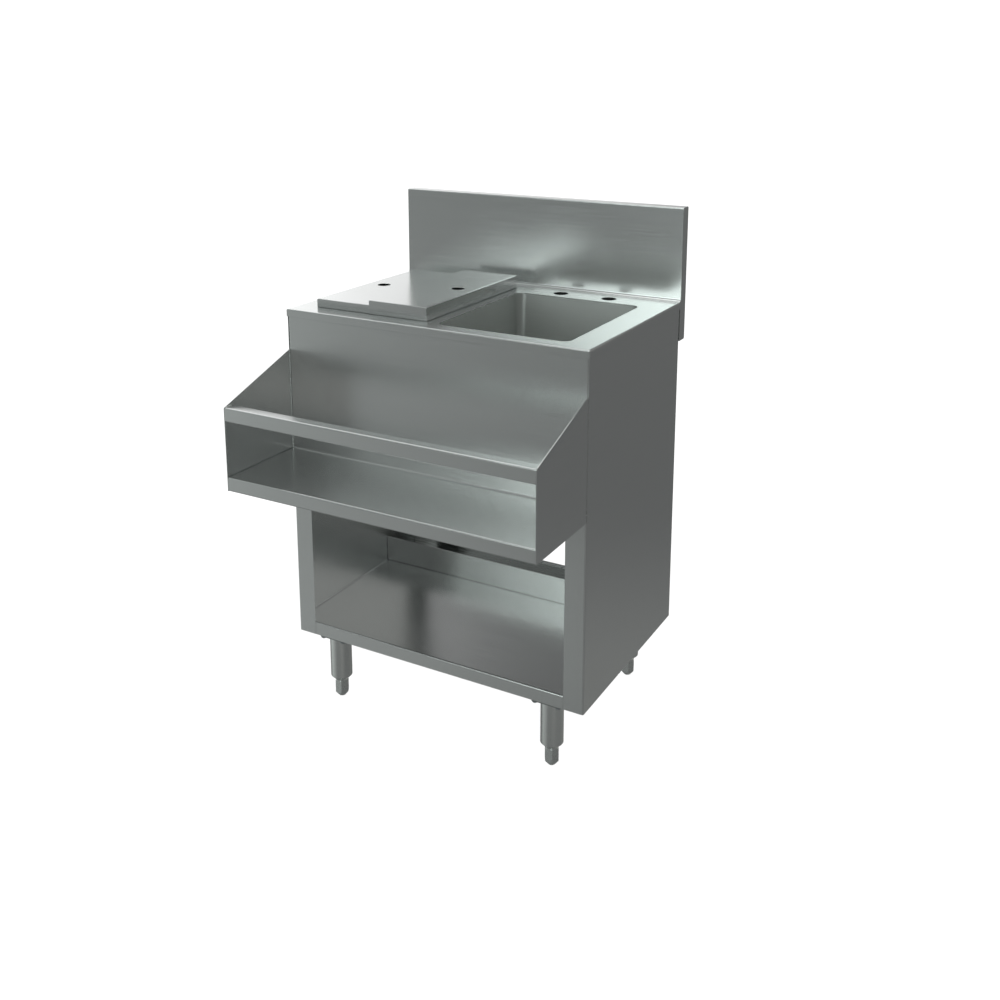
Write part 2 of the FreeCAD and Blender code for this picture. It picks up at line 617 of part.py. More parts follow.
def strainer():
    """Lift-out basket with a perforated floor, hung by its rim, with a post and a knob."""
    wall = CUP_RADIUS - BASKET_GAP
    rim = DRAIN_MOUTH / 2 - BASKET_GAP
    floor = LEDGE - BASKET_DEPTH
    top = LEDGE + BASKET_WALL
    shell = turned([(0, floor), (wall, floor), (wall, LEDGE), (rim, LEDGE), (rim, top),
                    (wall - BASKET_WALL, top), (wall - BASKET_WALL, floor + BASKET_WALL),
                    (0, floor + BASKET_WALL)], SINK_AXIS)
    shell = shell.cut(ring_of_holes(BASKET_RING, BASKET_HOLES, BASKET_HOLE, SINK_AXIS,
                                    (floor - BEYOND, floor + BEYOND)))
    post = cylinder(POST_DIAMETER, SINK_AXIS, (CUP_FLOOR + STOPPER_HEIGHT, top))
    knob = turned([(0, top), (POST_DIAMETER / 2, top), (KNOB_DIAMETER / 2, top + KNOB_HEIGHT / 2),
                   (POST_DIAMETER / 2, top + KNOB_HEIGHT), (0, top + KNOB_HEIGHT)], SINK_AXIS)
    return shell.fuse([post, knob])


def tailpiece():
    """Flanged tube with a thicker neck, hung from the drain's outlet."""
    tube = TAIL_DIAMETER / 2
    flange = OUTLET_THREAD / 2 - SHEET
    neck = NECK_DIAMETER / 2
    return turned([(tube - SHEET, OUTLET_END), (flange, OUTLET_END), (flange, OUTLET_END - SHEET),
                   (neck, OUTLET_END - SHEET), (neck, NECK_END), (tube, NECK_END), (tube, TAIL_END),
                   (tube - SHEET, TAIL_END)], SINK_AXIS)


def coupling_nut():
    """Hexagonal nut on the outlet, with a lip under the tailpiece's flange."""
    lip_top = OUTLET_END - SHEET - FIT
    heights = (lip_top - DRAIN_WALL, lip_top - DRAIN_WALL + COUPLING_HEIGHT)
    nut = hexagon(COUPLING_FLATS, SINK_AXIS, heights)
    thread = cylinder(OUTLET_THREAD + 2 * FIT, SINK_AXIS, (lip_top, heights[1] + BEYOND))
    return nut.cut([thread, cylinder(NECK_DIAMETER + 2 * LOOSE, SINK_AXIS, grown(heights, BEYOND))])


SINK_RECESS = (SINK_AXIS, DRAIN_FLANGE / 2 + LOOSE, SINK_FLOOR - DRAIN_SEAT)

PARTS["sink_bowl"] = bowl(SINK_X, SINK_Y, SINK_FLOOR, SINK_CORNER, SINK_RECESS, DRAIN_HOLE)
PARTS["sink_drain_body"] = drain_body()
PARTS["sink_drain_outlet"] = drain_outlet()
PARTS["sink_drain_gasket"] = cylinder(
    DRAIN_FLANGE, SINK_AXIS, (DRAIN_SEAT - SHEET - GASKET, DRAIN_SEAT - SHEET)).cut(
    cylinder(DRAIN_CUP + 2 * FIT, SINK_AXIS, (CUP_FLOOR, DRAIN_SEAT)))
PARTS["sink_drain_locknut"] = drain_locknut()
PARTS["sink_strainer"] = strainer()
PARTS["sink_stopper"] = cylinder(OUTLET_BORE + 2 * DRAIN_WALL, SINK_AXIS,
                                 (CUP_FLOOR, CUP_FLOOR + STOPPER_HEIGHT))
PARTS["sink_tailpiece"] = tailpiece()
PARTS["sink_coupling_nut"] = coupling_nut()


# ---------------------------------------------------------------- ice bin
BIN_RECESS = (BIN_AXIS, BIN_DRAIN_FLANGE / 2 + LOOSE, BIN_FLOOR - BIN_SEAT)
BIN_HOLE = BIN_DRAIN_THREAD + 2 * LOOSE


def bin_foam():
    """Foam block between the liner and the jacket, with a passage for the drain."""
    block = rounded_block(grown(BIN_X, FOAM_GROWTH), grown(BIN_Y, FOAM_GROWTH),
                          (FOAM_BOTTOM, UNDER_DECK - SHEET), BEND, "-z")
    space = well(BIN_X, BIN_Y, (BIN_FLOOR, DECK_HEIGHT + BEYOND), BIN_CORNER, BIN_RECESS, SHEET + LOOSE)
    return block.cut([space, cylinder(BIN_HOLE, BIN_AXIS, (FOAM_BOTTOM - BEYOND, BIN_FLOOR))])


def bin_jacket():
    """Outer skin of the bin, up to the underside of the countertop."""
    growth = FOAM_GROWTH + LOOSE + JACKET_SHEET
    skin = pan(grown(BIN_X, growth), grown(BIN_Y, growth), (JACKET_BOTTOM, UNDER_DECK), "-z", "+z",
               JACKET_SHEET, BEND)
    return skin.cut(cylinder(BIN_HOLE, BIN_AXIS, (JACKET_BOTTOM - BEYOND, JACKET_BOTTOM + BEYOND)))


def bin_drain():
    """Flanged drain through the floor of the bin, threaded for its nut, with a plain end."""
    edge = BIN_DRAIN_FLANGE / 2
    shoulder = BIN_DRAIN_END + BIN_SPIGOT_LENGTH
    return turned([(BIN_DRAIN_THREAD / 2, BIN_SEAT), (edge, BIN_SEAT), (edge, BIN_FLOOR),
                   (edge - BIN_DRAIN_RIM, BIN_FLOOR), (edge - BIN_DRAIN_RIM, DISC_LEDGE),
                   (BIN_DRAIN_BORE / 2, DISC_LEDGE), (BIN_DRAIN_BORE / 2, BIN_DRAIN_END),
                   (BIN_SPIGOT / 2, BIN_DRAIN_END), (BIN_SPIGOT / 2, shoulder),
                   (BIN_DRAIN_THREAD / 2, shoulder)], BIN_AXIS)


def bin_strainer():
    """Perforated disc in the mouth of the bin's drain."""
    heights = (DISC_LEDGE, BIN_FLOOR)
    disc = cylinder(BIN_DRAIN_FLANGE - 2 * BIN_DRAIN_RIM - 2 * FIT, BIN_AXIS, heights)
    return disc.cut(ring_of_holes(DISC_RING, DISC_HOLES, DISC_HOLE, BIN_AXIS, grown(heights, BEYOND)))


NUT_HEIGHTS = (JACKET_BOTTOM - BIN_NUT_HEIGHT, JACKET_BOTTOM)

PARTS["ice_bin_liner"] = bowl(BIN_X, BIN_Y, BIN_FLOOR, BIN_CORNER, BIN_RECESS, BIN_HOLE)
PARTS["ice_bin_foam"] = bin_foam()
PARTS["ice_bin_jacket"] = bin_jacket()
PARTS["ice_bin_drain"] = bin_drain()
PARTS["ice_bin_strainer"] = bin_strainer()
PARTS["ice_bin_drain_nut"] = hexagon(BIN_NUT_FLATS, BIN_AXIS, NUT_HEIGHTS).cut(
    cylinder(BIN_DRAIN_THREAD + 2 * FIT, BIN_AXIS, grown(NUT_HEIGHTS, BEYOND)))


# ---------------------------------------------------------------- covers
def cover(x, y, top, finger, short_side, short_lip):
    """Folded cover with a finger hole, and one edge turned down by a short lip only."""
    foot = DECK_HEIGHT + COVER_FOOT_GAP
    shape = pan(x, y, (foot, top), "+z", "-z", SHEET, COVER_BEND)
    centre = (finger, sum(y) / 2)
    edge = x[0] if short_side < 0 else x[1]
    gate = box(sorted((edge + short_side * BEYOND, edge - short_side * SHEET)),
               grown(y, -SHEET), (foot - BEYOND, top - short_lip))
    return shape.cut([gate, cylinder(FINGER_HOLE, centre, (foot, top + BEYOND))])


LEFT_TOP = DECK_HEIGHT + COVER_LOW
RIGHT_TOP = DECK_HEIGHT + COVER_HIGH

PARTS["cover_left"] = cover(
    (COVERS_X[0], COVERS_X[0] + COVER_WIDTH), grown(COVERS_Y, -SHEET - COVER_SIDE_GAP), LEFT_TOP,
    COVERS_X[0] + FINGER_INSET, 1, COVER_SHORT_LIP)
PARTS["cover_right"] = cover(
    (COVERS_X[1] - COVER_WIDTH, COVERS_X[1]), COVERS_Y, RIGHT_TOP,
    COVERS_X[1] - FINGER_INSET, -1, RIGHT_TOP - LEFT_TOP - COVER_OVER_GAP)


# ---------------------------------------------------------------- legs
def leg_plate(axis):
    """Square plate welded on the tube and screwed to a leg channel."""
    half = PLATE_SIZE / 2
    plate = upright_prism((axis[0] - half, axis[0] + half), (axis[1] - half, axis[1] + half),
                          (PLATE_BOTTOM, CABINET_BOTTOM), PLATE_CORNER)
    heights = (PLATE_BOTTOM - BEYOND, CABINET_BOTTOM + BEYOND)
    return plate.cut([cylinder(SCREW_DIAMETER + 2 * LOOSE, centre, heights)
                      for centre in screw_centres(axis)])


def leg_tube(axis):
    """Tube whose lower end is drawn in round the foot."""
    outer = LEG_DIAMETER / 2
    end = SWAGE_DIAMETER / 2
    return turned([(outer, PLATE_BOTTOM), (outer, SWAGE_TOP), (end, SWAGE_END), (end - LEG_WALL, SWAGE_END),
                   (outer - LEG_WALL, SWAGE_TOP), (outer - LEG_WALL, PLATE_BOTTOM)], axis)


def leg_insert(axis):
    """Threaded plug for the foot's stud, pressed down on the drawn-in end of the tube."""
    heights = (SWAGE_TOP, SWAGE_TOP + INSERT_HEIGHT)
    plug = cylinder(LEG_DIAMETER - 2 * LEG_WALL - 2 * FIT, axis, heights)
    return plug.cut(cylinder(STUD_DIAMETER + 2 * FIT, axis, heights))


def foot(axis):
    """Adjustable foot: a hexagonal body coned to a small tip, on a threaded stud."""
    top = SWAGE_END - FOOT_GAP
    body = hexagon(FOOT_FLATS, axis, (0, top))
    reach = FOOT_FLATS / math.sqrt(3)
    cone = turned([(0, 0), (FOOT_TIP / 2, 0), (reach, FOOT_CHAMFER), (reach, top), (0, top)], axis)
    return body.common(cone).fuse(cylinder(STUD_DIAMETER, axis, (top, top + STUD_LENGTH)))


def screw(centre):
    """Hexagon-head screw from below, through the plate and into the web of a leg channel."""
    head = hexagon(SCREW_FLATS, centre, (PLATE_BOTTOM - SCREW_HEAD, PLATE_BOTTOM))
    return head.fuse(cylinder(SCREW_DIAMETER, centre, (PLATE_BOTTOM, PLATE_BOTTOM + SCREW_LENGTH)))


LEGS = {"front_left": (-LEG_X, LEG_FRONT), "front_right": (LEG_X, LEG_FRONT),
        "rear_left": (-LEG_X, LEG_BACK), "rear_right": (LEG_X, LEG_BACK)}

for corner, axis in LEGS.items():
    PARTS["leg_plate_" + corner] = leg_plate(axis)
    PARTS["leg_tube_" + corner] = leg_tube(axis)
    PARTS["leg_insert_" + corner] = leg_insert(axis)
    PARTS["foot_" + corner] = foot(axis)
PARTS["leg_screws"] = Part.makeCompound([screw(centre) for axis in LEGS.values()
                                         for centre in screw_centres(axis)])

# ---------------------------------------------------------------- files
os.makedirs("parts", exist_ok=True)
for name, shape in PARTS.items():
    shape.exportStep("parts/" + name + ".step")
    print(name, "solids", len(shape.Solids), "volume", round(shape.Volume), "valid", shape.isValid())
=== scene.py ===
"""Looks of an under-bar unit in stainless sheet: sink, covered ice bin, bottle rail, cabinet.

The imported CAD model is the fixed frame.  Its folded sheets stay and get their finish here; the
drawn bowls, the drains, the legs, the feet, the screws and the weld seams are new surfaces.
Metres, in the frame of the CAD model: +X right, +Y to the back, +Z up, floor at zero.
"""

import math

import bmesh
import bpy
import numpy as np
from bpy.props import FloatProperty, PointerProperty, StringProperty
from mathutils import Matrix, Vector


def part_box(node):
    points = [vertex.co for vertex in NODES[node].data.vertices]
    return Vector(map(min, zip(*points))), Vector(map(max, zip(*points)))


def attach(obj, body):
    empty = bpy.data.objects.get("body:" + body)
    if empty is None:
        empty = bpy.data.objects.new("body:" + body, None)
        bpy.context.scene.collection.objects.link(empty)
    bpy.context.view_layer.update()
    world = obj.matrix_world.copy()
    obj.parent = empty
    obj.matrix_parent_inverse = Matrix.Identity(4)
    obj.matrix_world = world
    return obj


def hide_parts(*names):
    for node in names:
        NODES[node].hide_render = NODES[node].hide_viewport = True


bl_info = {
    "name": "Under-bar sink unit",
    "version": (1, 0, 0),
    "blender": (4, 5, 0),
    "location": "3D View > Sidebar > Bar Unit",
    "description": "Finishes and fine pieces for a stainless under-bar sink with an ice bin",
    "category": "Object",
}

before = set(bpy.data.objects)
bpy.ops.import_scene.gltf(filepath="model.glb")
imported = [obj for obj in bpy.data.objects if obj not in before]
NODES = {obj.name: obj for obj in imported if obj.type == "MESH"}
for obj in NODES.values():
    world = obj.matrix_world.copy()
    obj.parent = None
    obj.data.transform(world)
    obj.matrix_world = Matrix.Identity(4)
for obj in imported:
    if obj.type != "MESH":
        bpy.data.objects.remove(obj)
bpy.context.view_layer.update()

MM = 0.001
LEGS = ("front_left", "front_right", "rear_left", "rear_right")

# The metal's finish, and the shade painted into its inner corners
LEVEL = 0.7                     # a face is level if its normal points up or down by more than this
NOISE_SPAN = (0.3, 0.7)         # nearly all of a noise lies between these
GRAIN_SHADE = (0.98, 1.02)      # how far the grain darkens and lightens the colour
BUCKLES = 5.0                   # slow buckles to a metre of folded sheet
PAINTED_SHADE_REACH = 4 * MM          # how far out of an inner corner the painted shade reaches
PAINTED_SHADE_SKY = (0.35, 0.8)       # share of open sky deep in the corner and clear of it
PAINTED_SHADE_LEVELS = (0.45, 1.0)     # painted shade: brightness of the colour at both
EDGE_ANGLE = 40                 # degrees; sheet that is bent by more has an edge to round

# The drains, the feet and the screws
OUTLET_CREST, OUTLET_BORE = 23.7 * MM, 19 * MM
LEDGE = 1.0 * MM                # depth at which the basket's rim rests in the drain's mouth
# Rings of round holes: how many, hole radius, inner and outer radius of the ring in mm
BASKET_HOLES = ((12, 1.3, 5.5, 12), (12, 2.2, 12, 19), (12, 2.6, 19, 26), (24, 2.0, 26, 33))
DISC_HOLES = ((6, 1.4, 2, 8), (12, 1.4, 8, 14), (12, 1.8, 14, 21))
THREAD_ROWS = 8                 # rows of points to each turn of a thread
FOOT_TOP, STUD_FOOT, STUD_CREST = 35.0 * MM, 34.8 * MM, 7.95 * MM
SCREW_INSET, SCREW_LENGTH = 6.2 * MM, 10 * MM

# The welds
TUBE_RADIUS, FILLET = 20.65 * MM, 2.2 * MM
COVE = 3.2 * MM

# The stage
FLOOR_HEIGHT = -0.0005
FLOOR_RINGS = (0.0, 0.8, 1.6, 2.4)
FLOOR_MIDDLE = (0, 0.05)
BACKDROP = 1.15                 # brightness of the white that only the camera sees
LAMP_SIZE, LAMP_POWER = 1.6, 6
LAMP_PLACE = (0.1, 0.0, 2.6)
# The photo's camera, worked out from where the corners of the unit lie in it
CAMERA_PLACE = (1.0302, -1.719, 1.2397)
CAMERA_TILT, CAMERA_TURN = 12.4, 29.14      # degrees, down and to the left
FOCAL_PIXELS, PHOTO_PIXELS = 1143.8, 1000
SENSOR = 36
CAMERA_SHIFT = -0.2


# ---------------------------------------------------------------- materials
def linear(colour):
    """Linear RGBA of an sRGB hex colour."""
    channels = [int(colour[at:at + 2], 16) / 255 for at in (1, 3, 5)]
    return [c / 12.92 if c <= 0.04045 else ((c + 0.055) / 1.055) ** 2.4 for c in channels] + [1.0]


def add(tree, kind, settings, inputs):
    """Adds a node with its settings and its inputs, each a value or a socket to link."""
    node = tree.nodes.new(kind)
    for name, value in settings.items():
        setattr(node, name, value)
    for key, value in inputs.items():
        if isinstance(value, bpy.types.NodeSocket):
            tree.links.new(value, node.inputs[key])
        else:
            node.inputs[key].default_value = value
    return node


def ranged(tree, value, source, target, kind="LINEAR"):
    """The value of a socket, moved from the source range to the target range."""
    return add(tree, "ShaderNodeMapRange", {"interpolation_type": kind}, {
        "Value": value, "From Min": source[0], "From Max": source[1],
        "To Min": target[0], "To Max": target[1]}).outputs[0]


def new_material(name):
    """An empty node material, its tree and the object's coordinates in it."""
    material = bpy.data.materials.new(name)
    material.use_nodes = True
    tree = material.node_tree
    tree.nodes.clear()
    return material, tree, add(tree, "ShaderNodeTexCoord", {}, {}).outputs["Object"]


def brushed_metal(name, colour, roughness, spread, grain, streak, depth, wave, stretch):
    """Metal with a fine straight grain that runs level, along X or, on the sides, along Y.

    The grain is noise drawn out to the streak's length and as wide as the grain.  It turns to
    lie in the surface, makes the roughness vary by the spread, and lifts the surface by the
    depth.  The wave is the height of the slow buckles that folded sheet has, and the stretch
    is how far reflections are drawn out across the grain.
    """
    material, tree, place = new_material(name)
    normal = add(tree, "ShaderNodeNewGeometry", {}, {}).outputs["Normal"]
    up = add(tree, "ShaderNodeSeparateXYZ", {}, {"Vector": normal}).outputs["Z"]
    lean = add(tree, "ShaderNodeMath", {"operation": "ABSOLUTE"}, {0: up}).outputs[0]
    level = add(tree, "ShaderNodeMath", {"operation": "GREATER_THAN"},
                {0: lean, 1: LEVEL}).outputs[0]
    upright = add(tree, "ShaderNodeMath", {"operation": "SUBTRACT"}, {0: 1.0, 1: level}).outputs[0]
    along, across = 1 / streak, 1 / grain
    rate = add(tree, "ShaderNodeCombineXYZ", {}, {
        "X": along, "Y": ranged(tree, level, (0, 1), (along, across)),
        "Z": ranged(tree, level, (0, 1), (across, along))}).outputs[0]
    drawn = add(tree, "ShaderNodeVectorMath", {"operation": "MULTIPLY"}, {0: place, 1: rate})
    lines = add(tree, "ShaderNodeTexNoise", {}, {
        "Vector": drawn.outputs[0], "Scale": 1.0, "Detail": 3.0, "Roughness": 0.6}).outputs["Fac"]
    buckle = add(tree, "ShaderNodeTexNoise", {}, {
        "Vector": place, "Scale": BUCKLES, "Detail": 1.0}).outputs["Fac"]
    gloss = ranged(tree, lines, NOISE_SPAN, (roughness - spread, roughness + spread))
    shade = ranged(tree, lines, NOISE_SPAN, GRAIN_SHADE)
    # Painted shade: the colour darkens with the ambient occlusion in the inner corners and along
    # the seams
    open_sky = add(tree, "ShaderNodeAmbientOcclusion", {"samples": 4},
                   {"Distance": PAINTED_SHADE_REACH}).outputs["AO"]
    painted_corner_shade = ranged(tree, open_sky, PAINTED_SHADE_SKY, PAINTED_SHADE_LEVELS)
    shade = add(tree, "ShaderNodeMath", {"operation": "MULTIPLY"}, {0: shade, 1: painted_corner_shade})
    base = add(tree, "ShaderNodeVectorMath", {"operation": "SCALE"},
               {0: linear(colour)[:3], "Scale": shade.outputs[0]})
    slow = add(tree, "ShaderNodeBump", {}, {"Height": buckle, "Distance": wave})
    fine = add(tree, "ShaderNodeBump", {}, {
        "Height": lines, "Distance": depth, "Normal": slow.outputs[0]})
    blur = add(tree, "ShaderNodeCombineXYZ", {}, {"X": 0.0, "Y": level, "Z": upright})
    shader = add(tree, "ShaderNodeBsdfPrincipled", {}, {
        "Base Color": base.outputs[0], "Metallic": 1.0, "Roughness": gloss,
        "Anisotropic": stretch, "Tangent": blur.outputs[0], "Normal": fine.outputs[0]})
    add(tree, "ShaderNodeOutputMaterial", {}, {"Surface": shader.outputs[0]})
    return material


def polished_metal(name, colour, roughness, spread, speckle, depth):
    """Metal polished or cast without a direction.  The speckle is the size of its mottling, which
    makes the roughness vary by the spread and lifts the surface by the depth."""
    material, tree, place = new_material(name)
    mottle = add(tree, "ShaderNodeTexNoise", {}, {
        "Vector": place, "Scale": 1 / speckle, "Detail": 4.0}).outputs["Fac"]
    gloss = ranged(tree, mottle, NOISE_SPAN, (roughness - spread, roughness + spread))
    skin = add(tree, "ShaderNodeBump", {}, {"Height": mottle, "Distance": depth})
    shader = add(tree, "ShaderNodeBsdfPrincipled", {}, {
        "Base Color": linear(colour), "Metallic": 1.0, "Roughness": gloss,
        "Normal": skin.outputs[0]})
    add(tree, "ShaderNodeOutputMaterial", {}, {"Surface": shader.outputs[0]})
    return material


def soft_material(name, dark, light, roughness, cell, depth):
    """Rubber or foam: two near colours mottled at the size of the cell, with a matching relief."""
    material, tree, place = new_material(name)
    cells = add(tree, "ShaderNodeTexVoronoi", {}, {
        "Vector": place, "Scale": 1 / cell}).outputs["Distance"]
    mixed = add(tree, "ShaderNodeMix", {"data_type": "RGBA"},
                {0: cells, 6: linear(dark), 7: linear(light)})
    relief = add(tree, "ShaderNodeBump", {}, {"Height": cells, "Distance": depth})
    shader = add(tree, "ShaderNodeBsdfPrincipled", {}, {
        "Base Color": mixed.outputs[2], "Roughness": roughness, "Normal": relief.outputs[0]})
    add(tree, "ShaderNodeOutputMaterial", {}, {"Surface": shader.outputs[0]})
    return material


def floor_paper():
    """Pale translucent sheet on a white ground: dull, with faint shadows, fading out sideways."""
    material, tree, place = new_material("floor_white_paper")
    far = add(tree, "ShaderNodeVectorMath", {"operation": "LENGTH"}, {0: place}).outputs["Value"]
    fade = ranged(tree, far, (0.4, 1.3), (0.86, 1.0), "SMOOTHSTEP")
    paper = add(tree, "ShaderNodeBsdfPrincipled", {}, {
        "Base Color": (0.9, 0.9, 0.89, 1), "Roughness": 0.9})
    clear = add(tree, "ShaderNodeBsdfTransparent", {}, {})
    mixed = add(tree, "ShaderNodeMixShader", {}, {
        0: fade, 1: paper.outputs[0], 2: clear.outputs[0]})
    add(tree, "ShaderNodeOutputMaterial", {}, {"Surface": mixed.outputs[0]})
    return material


# Soft lights of the studio that the metal mirrors: azimuth from +Y towards +X, elevation, half
# width and half height in degrees, softness of the edge, radiance that it adds, tint
GLOWS = (
    (184, 17, 23, 18, 0.10, 2.10, "#F4FFFC"),    # soft box in front
    (-64, 32, 28, 34, 0.20, 0.90, "#FFFFFF"),    # white wall behind on the left
    (-36, 9, 18, 8, 0.40, 0.95, "#FFFFFF"),      # its bright foot
    (0, 90, 999, 34, 0.50, 0.50, "#F8FFFD"),     # ceiling
    (252, 10, 30, 36, 0.50, 0.45, "#F4FFFC"),    # wall on the left
    (50, 3, 24, 9, 0.50, 0.40, "#FFFDF6"),       # window behind on the right
    (70, 30, 40, 18, 0.50, 0.15, "#FFFDF6"),     # wall above it
    (-50, -5, 50, 12, 0.50, 0.18, "#FFFFFF"),    # floor behind
    (20, -55, 30, 20, 0.50, 0.18, "#FFFDF2"),    # floor under the right side
    (235, -26, 30, 20, 0.50, 0.16, "#F8FFFC"),   # floor in front
    (135, -12, 22, 16, 0.50, 0.13, "#FFFDF6"),   # floor in front on the right
    (35, 28, 20, 16, 0.50, 0.12, "#FFFFFF"),     # wall behind on the right
)
STUDIO_GREY = "#656666"


def studio_world(scene):
    """Grey studio with soft bright areas.

    Each area is a smooth step of the length of (turn / half width, rise / half height), where
    turn and rise are the angles from its middle.  The backdrop itself is plain white, as on a
    cut-out product photo.
    """
    world = bpy.data.worlds.new("studio")
    world.use_nodes = True
    tree = world.node_tree
    tree.nodes.clear()
    way = add(tree, "ShaderNodeTexCoord", {}, {}).outputs["Generated"]
    up = add(tree, "ShaderNodeSeparateXYZ", {}, {"Vector": way}).outputs["Z"]
    height = add(tree, "ShaderNodeMath", {"operation": "ARCSINE"}, {0: up}).outputs[0]
    grey = add(tree, "ShaderNodeRGB", {}, {})
    grey.outputs[0].default_value = linear(STUDIO_GREY)
    total = grey.outputs[0]
    for azimuth, elevation, wide, tall, soft, radiance, tint in GLOWS:
        spun = add(tree, "ShaderNodeVectorRotate", {"rotation_type": "Z_AXIS"},
                   {"Vector": way, "Angle": math.radians(azimuth)}).outputs[0]
        flat = add(tree, "ShaderNodeSeparateXYZ", {}, {"Vector": spun})
        turn = add(tree, "ShaderNodeMath", {"operation": "ARCTAN2"},
                   {0: flat.outputs["X"], 1: flat.outputs["Y"]})
        rise = add(tree, "ShaderNodeMath", {"operation": "SUBTRACT"},
                   {0: height, 1: math.radians(elevation)})
        offset = add(tree, "ShaderNodeCombineXYZ", {}, {
            "X": turn.outputs[0], "Y": rise.outputs[0]})
        share = add(tree, "ShaderNodeVectorMath", {"operation": "MULTIPLY"}, {
            0: offset.outputs[0], 1: (1 / math.radians(wide), 1 / math.radians(tall), 0)})
        away = add(tree, "ShaderNodeVectorMath", {"operation": "LENGTH"},
                   {0: share.outputs[0]}).outputs["Value"]
        glow = ranged(tree, away, (1 + soft, 1 - soft), (0.0, radiance), "SMOOTHSTEP")
        light = add(tree, "ShaderNodeVectorMath", {"operation": "SCALE"},
                    {0: linear(tint)[:3], "Scale": glow})
        total = add(tree, "ShaderNodeVectorMath", {"operation": "ADD"},
                    {0: total, 1: light.outputs[0]}).outputs[0]
    studio = add(tree, "ShaderNodeBackground", {}, {"Color": total})
    white = add(tree, "ShaderNodeBackground", {}, {"Color": (1, 1, 1, 1), "Strength": BACKDROP})
    seen = add(tree, "ShaderNodeLightPath", {}, {}).outputs["Is Camera Ray"]
    mixed = add(tree, "ShaderNodeMixShader", {}, {
        0: seen, 1: studio.outputs[0], 2: white.outputs[0]})
    add(tree, "ShaderNodeOutputWorld", {}, {"Surface": mixed.outputs[0]})
    scene.world = world


def dress(names, material):
    """Gives CAD nodes that stay their material."""
    for name in names:
        mesh = NODES[name].data
        mesh.materials.clear()
        mesh.materials.append(material)


def round_edges(names, radius):
    """Rounds the folds and cut edges of CAD nodes by the radius: welds each mesh, bevels its
    edges, and lets the large faces set the normals, so that flat sheet stays flat."""
    for name in names:
        weld = NODES[name].modifiers.new("weld", "WELD")
        weld.merge_threshold = 0.01 * MM
        bevel = NODES[name].modifiers.new("bevel", "BEVEL")
        bevel.width = radius
        bevel.segments = 3
        bevel.limit_method = "ANGLE"
        bevel.angle_limit = math.radians(EDGE_ANGLE)
        even = NODES[name].modifiers.new("even", "WEIGHTED_NORMAL")
        even.weight = 100


# ---------------------------------------------------------------- objects and places
def put(name, data):
    """A new object in the scene."""
    thing = bpy.data.objects.new(name, data)
    bpy.context.scene.collection.objects.link(thing)
    return thing


def piece(name, parts, material, body, stands_for=(), sharp=32):
    """A shown object made of grids, each (points, faces), on the body that it rides on.

    Points that meet are merged, faces are turned outward, and edges bent by more than the
    sharp angle, in degrees, stay crisp.
    """
    counts = np.cumsum([0] + [len(points) for points, _ in parts])
    points = np.concatenate([points for points, _ in parts])
    faces = np.concatenate([faces + start for (_, faces), start in zip(parts, counts)])
    mesh = bpy.data.meshes.new(name)
    mesh.from_pydata(points.tolist(), [], faces.tolist())
    work = bmesh.new()
    work.from_mesh(mesh)
    bmesh.ops.remove_doubles(work, verts=work.verts, dist=1e-6)
    bmesh.ops.dissolve_degenerate(work, edges=work.edges, dist=1e-7)
    bmesh.ops.recalc_face_normals(work, faces=work.faces)
    work.to_mesh(mesh)
    work.free()
    mesh.polygons.foreach_set("use_smooth", np.ones(len(mesh.polygons), dtype=bool))
    mesh.set_sharp_from_angle(angle=math.radians(sharp))
    mesh.materials.append(material)
    shown = put(name, mesh)
    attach(shown, body)
    if stands_for:
        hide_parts(*stands_for)
    return shown


def middle_of(name):
    """Axis, half width and heights of a CAD node: ((x, y), half, low, high)."""
    low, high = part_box(name)
    axis = ((low[0] + high[0]) / 2, (low[1] + high[1]) / 2)
    return axis, (high[0] - low[0]) / 2, low[2], high[2]


# ---------------------------------------------------------------- general surfaces
def grid_faces(rows, columns, round_rows, round_columns):
    """Quads between neighbours on a grid of points that are numbered row by row."""
    row = np.arange(rows if round_rows else rows - 1)
    column = np.arange(columns if round_columns else columns - 1)
    row, column = np.meshgrid(row, column, indexing="ij")
    below = (row + 1) % rows
    right = (column + 1) % columns
    corners = [row * columns + column, row * columns + right,
               below * columns + right, below * columns + column]
    return np.stack(corners, axis=-1).reshape(-1, 4)


def around(count):
    """Angles of that many even steps round a circle."""
    return np.arange(count) * 2 * math.pi / count


def lathe(axis, radius, height, count, closed=False):
    """Surface round an upright axis: one row of points for every row of the radius and the
    height, which are columns, or change with the angle too.  If closed, the last row joins
    the first."""
    angle = around(count)
    x = axis[0] + radius * np.cos(angle)
    y = axis[1] + radius * np.sin(angle)
    points = np.stack([x, y, np.broadcast_to(height, x.shape)], axis=-1)
    return points.reshape(-1, 3), grid_faces(len(height), count, closed, True)


def turned(profile, axis, count=64, closed=True):
    """Surface of revolution: each (radius, height) of the profile swept round an upright axis."""
    profile = np.array(profile, dtype=float)
    return lathe(axis, profile[:, :1], profile[:, 1:], count, closed)


def arc(centre, radius, start, end, steps):
    """Points of a circular arc in a (radius, height) profile, angles in degrees."""
    angle = np.radians(np.linspace(start, end, steps + 1))
    return list(zip(centre[0] + radius * np.cos(angle), centre[1] + radius * np.sin(angle)))


def capped(radius, height, inner, top):
    """Rows of a lathe's radius and height with one more at either end, at the inner radius."""
    row = np.full((1, radius.shape[1]), inner)
    return np.concatenate([row, radius, row]), np.concatenate([height[:1], height, [top]])[:, None]


def hexagon(flat, count):
    """Reach of a hexagonal bar round the turn = reach of its flats over the cosine of the angle
    from the middle of the nearest flat."""
    return flat / np.cos(np.mod(around(count), math.pi / 3) - math.pi / 6)


def thread_wave(height, count, pitch):
    """Triangle wave of a helical thread: distance of (height over pitch minus share of a turn)
    from the nearest crest, one at the root and zero at the crest."""
    phase = height[:, None] / pitch - around(count)[None, :] / (2 * math.pi)
    return np.abs(np.mod(phase, 1.0) - 0.5) * 2


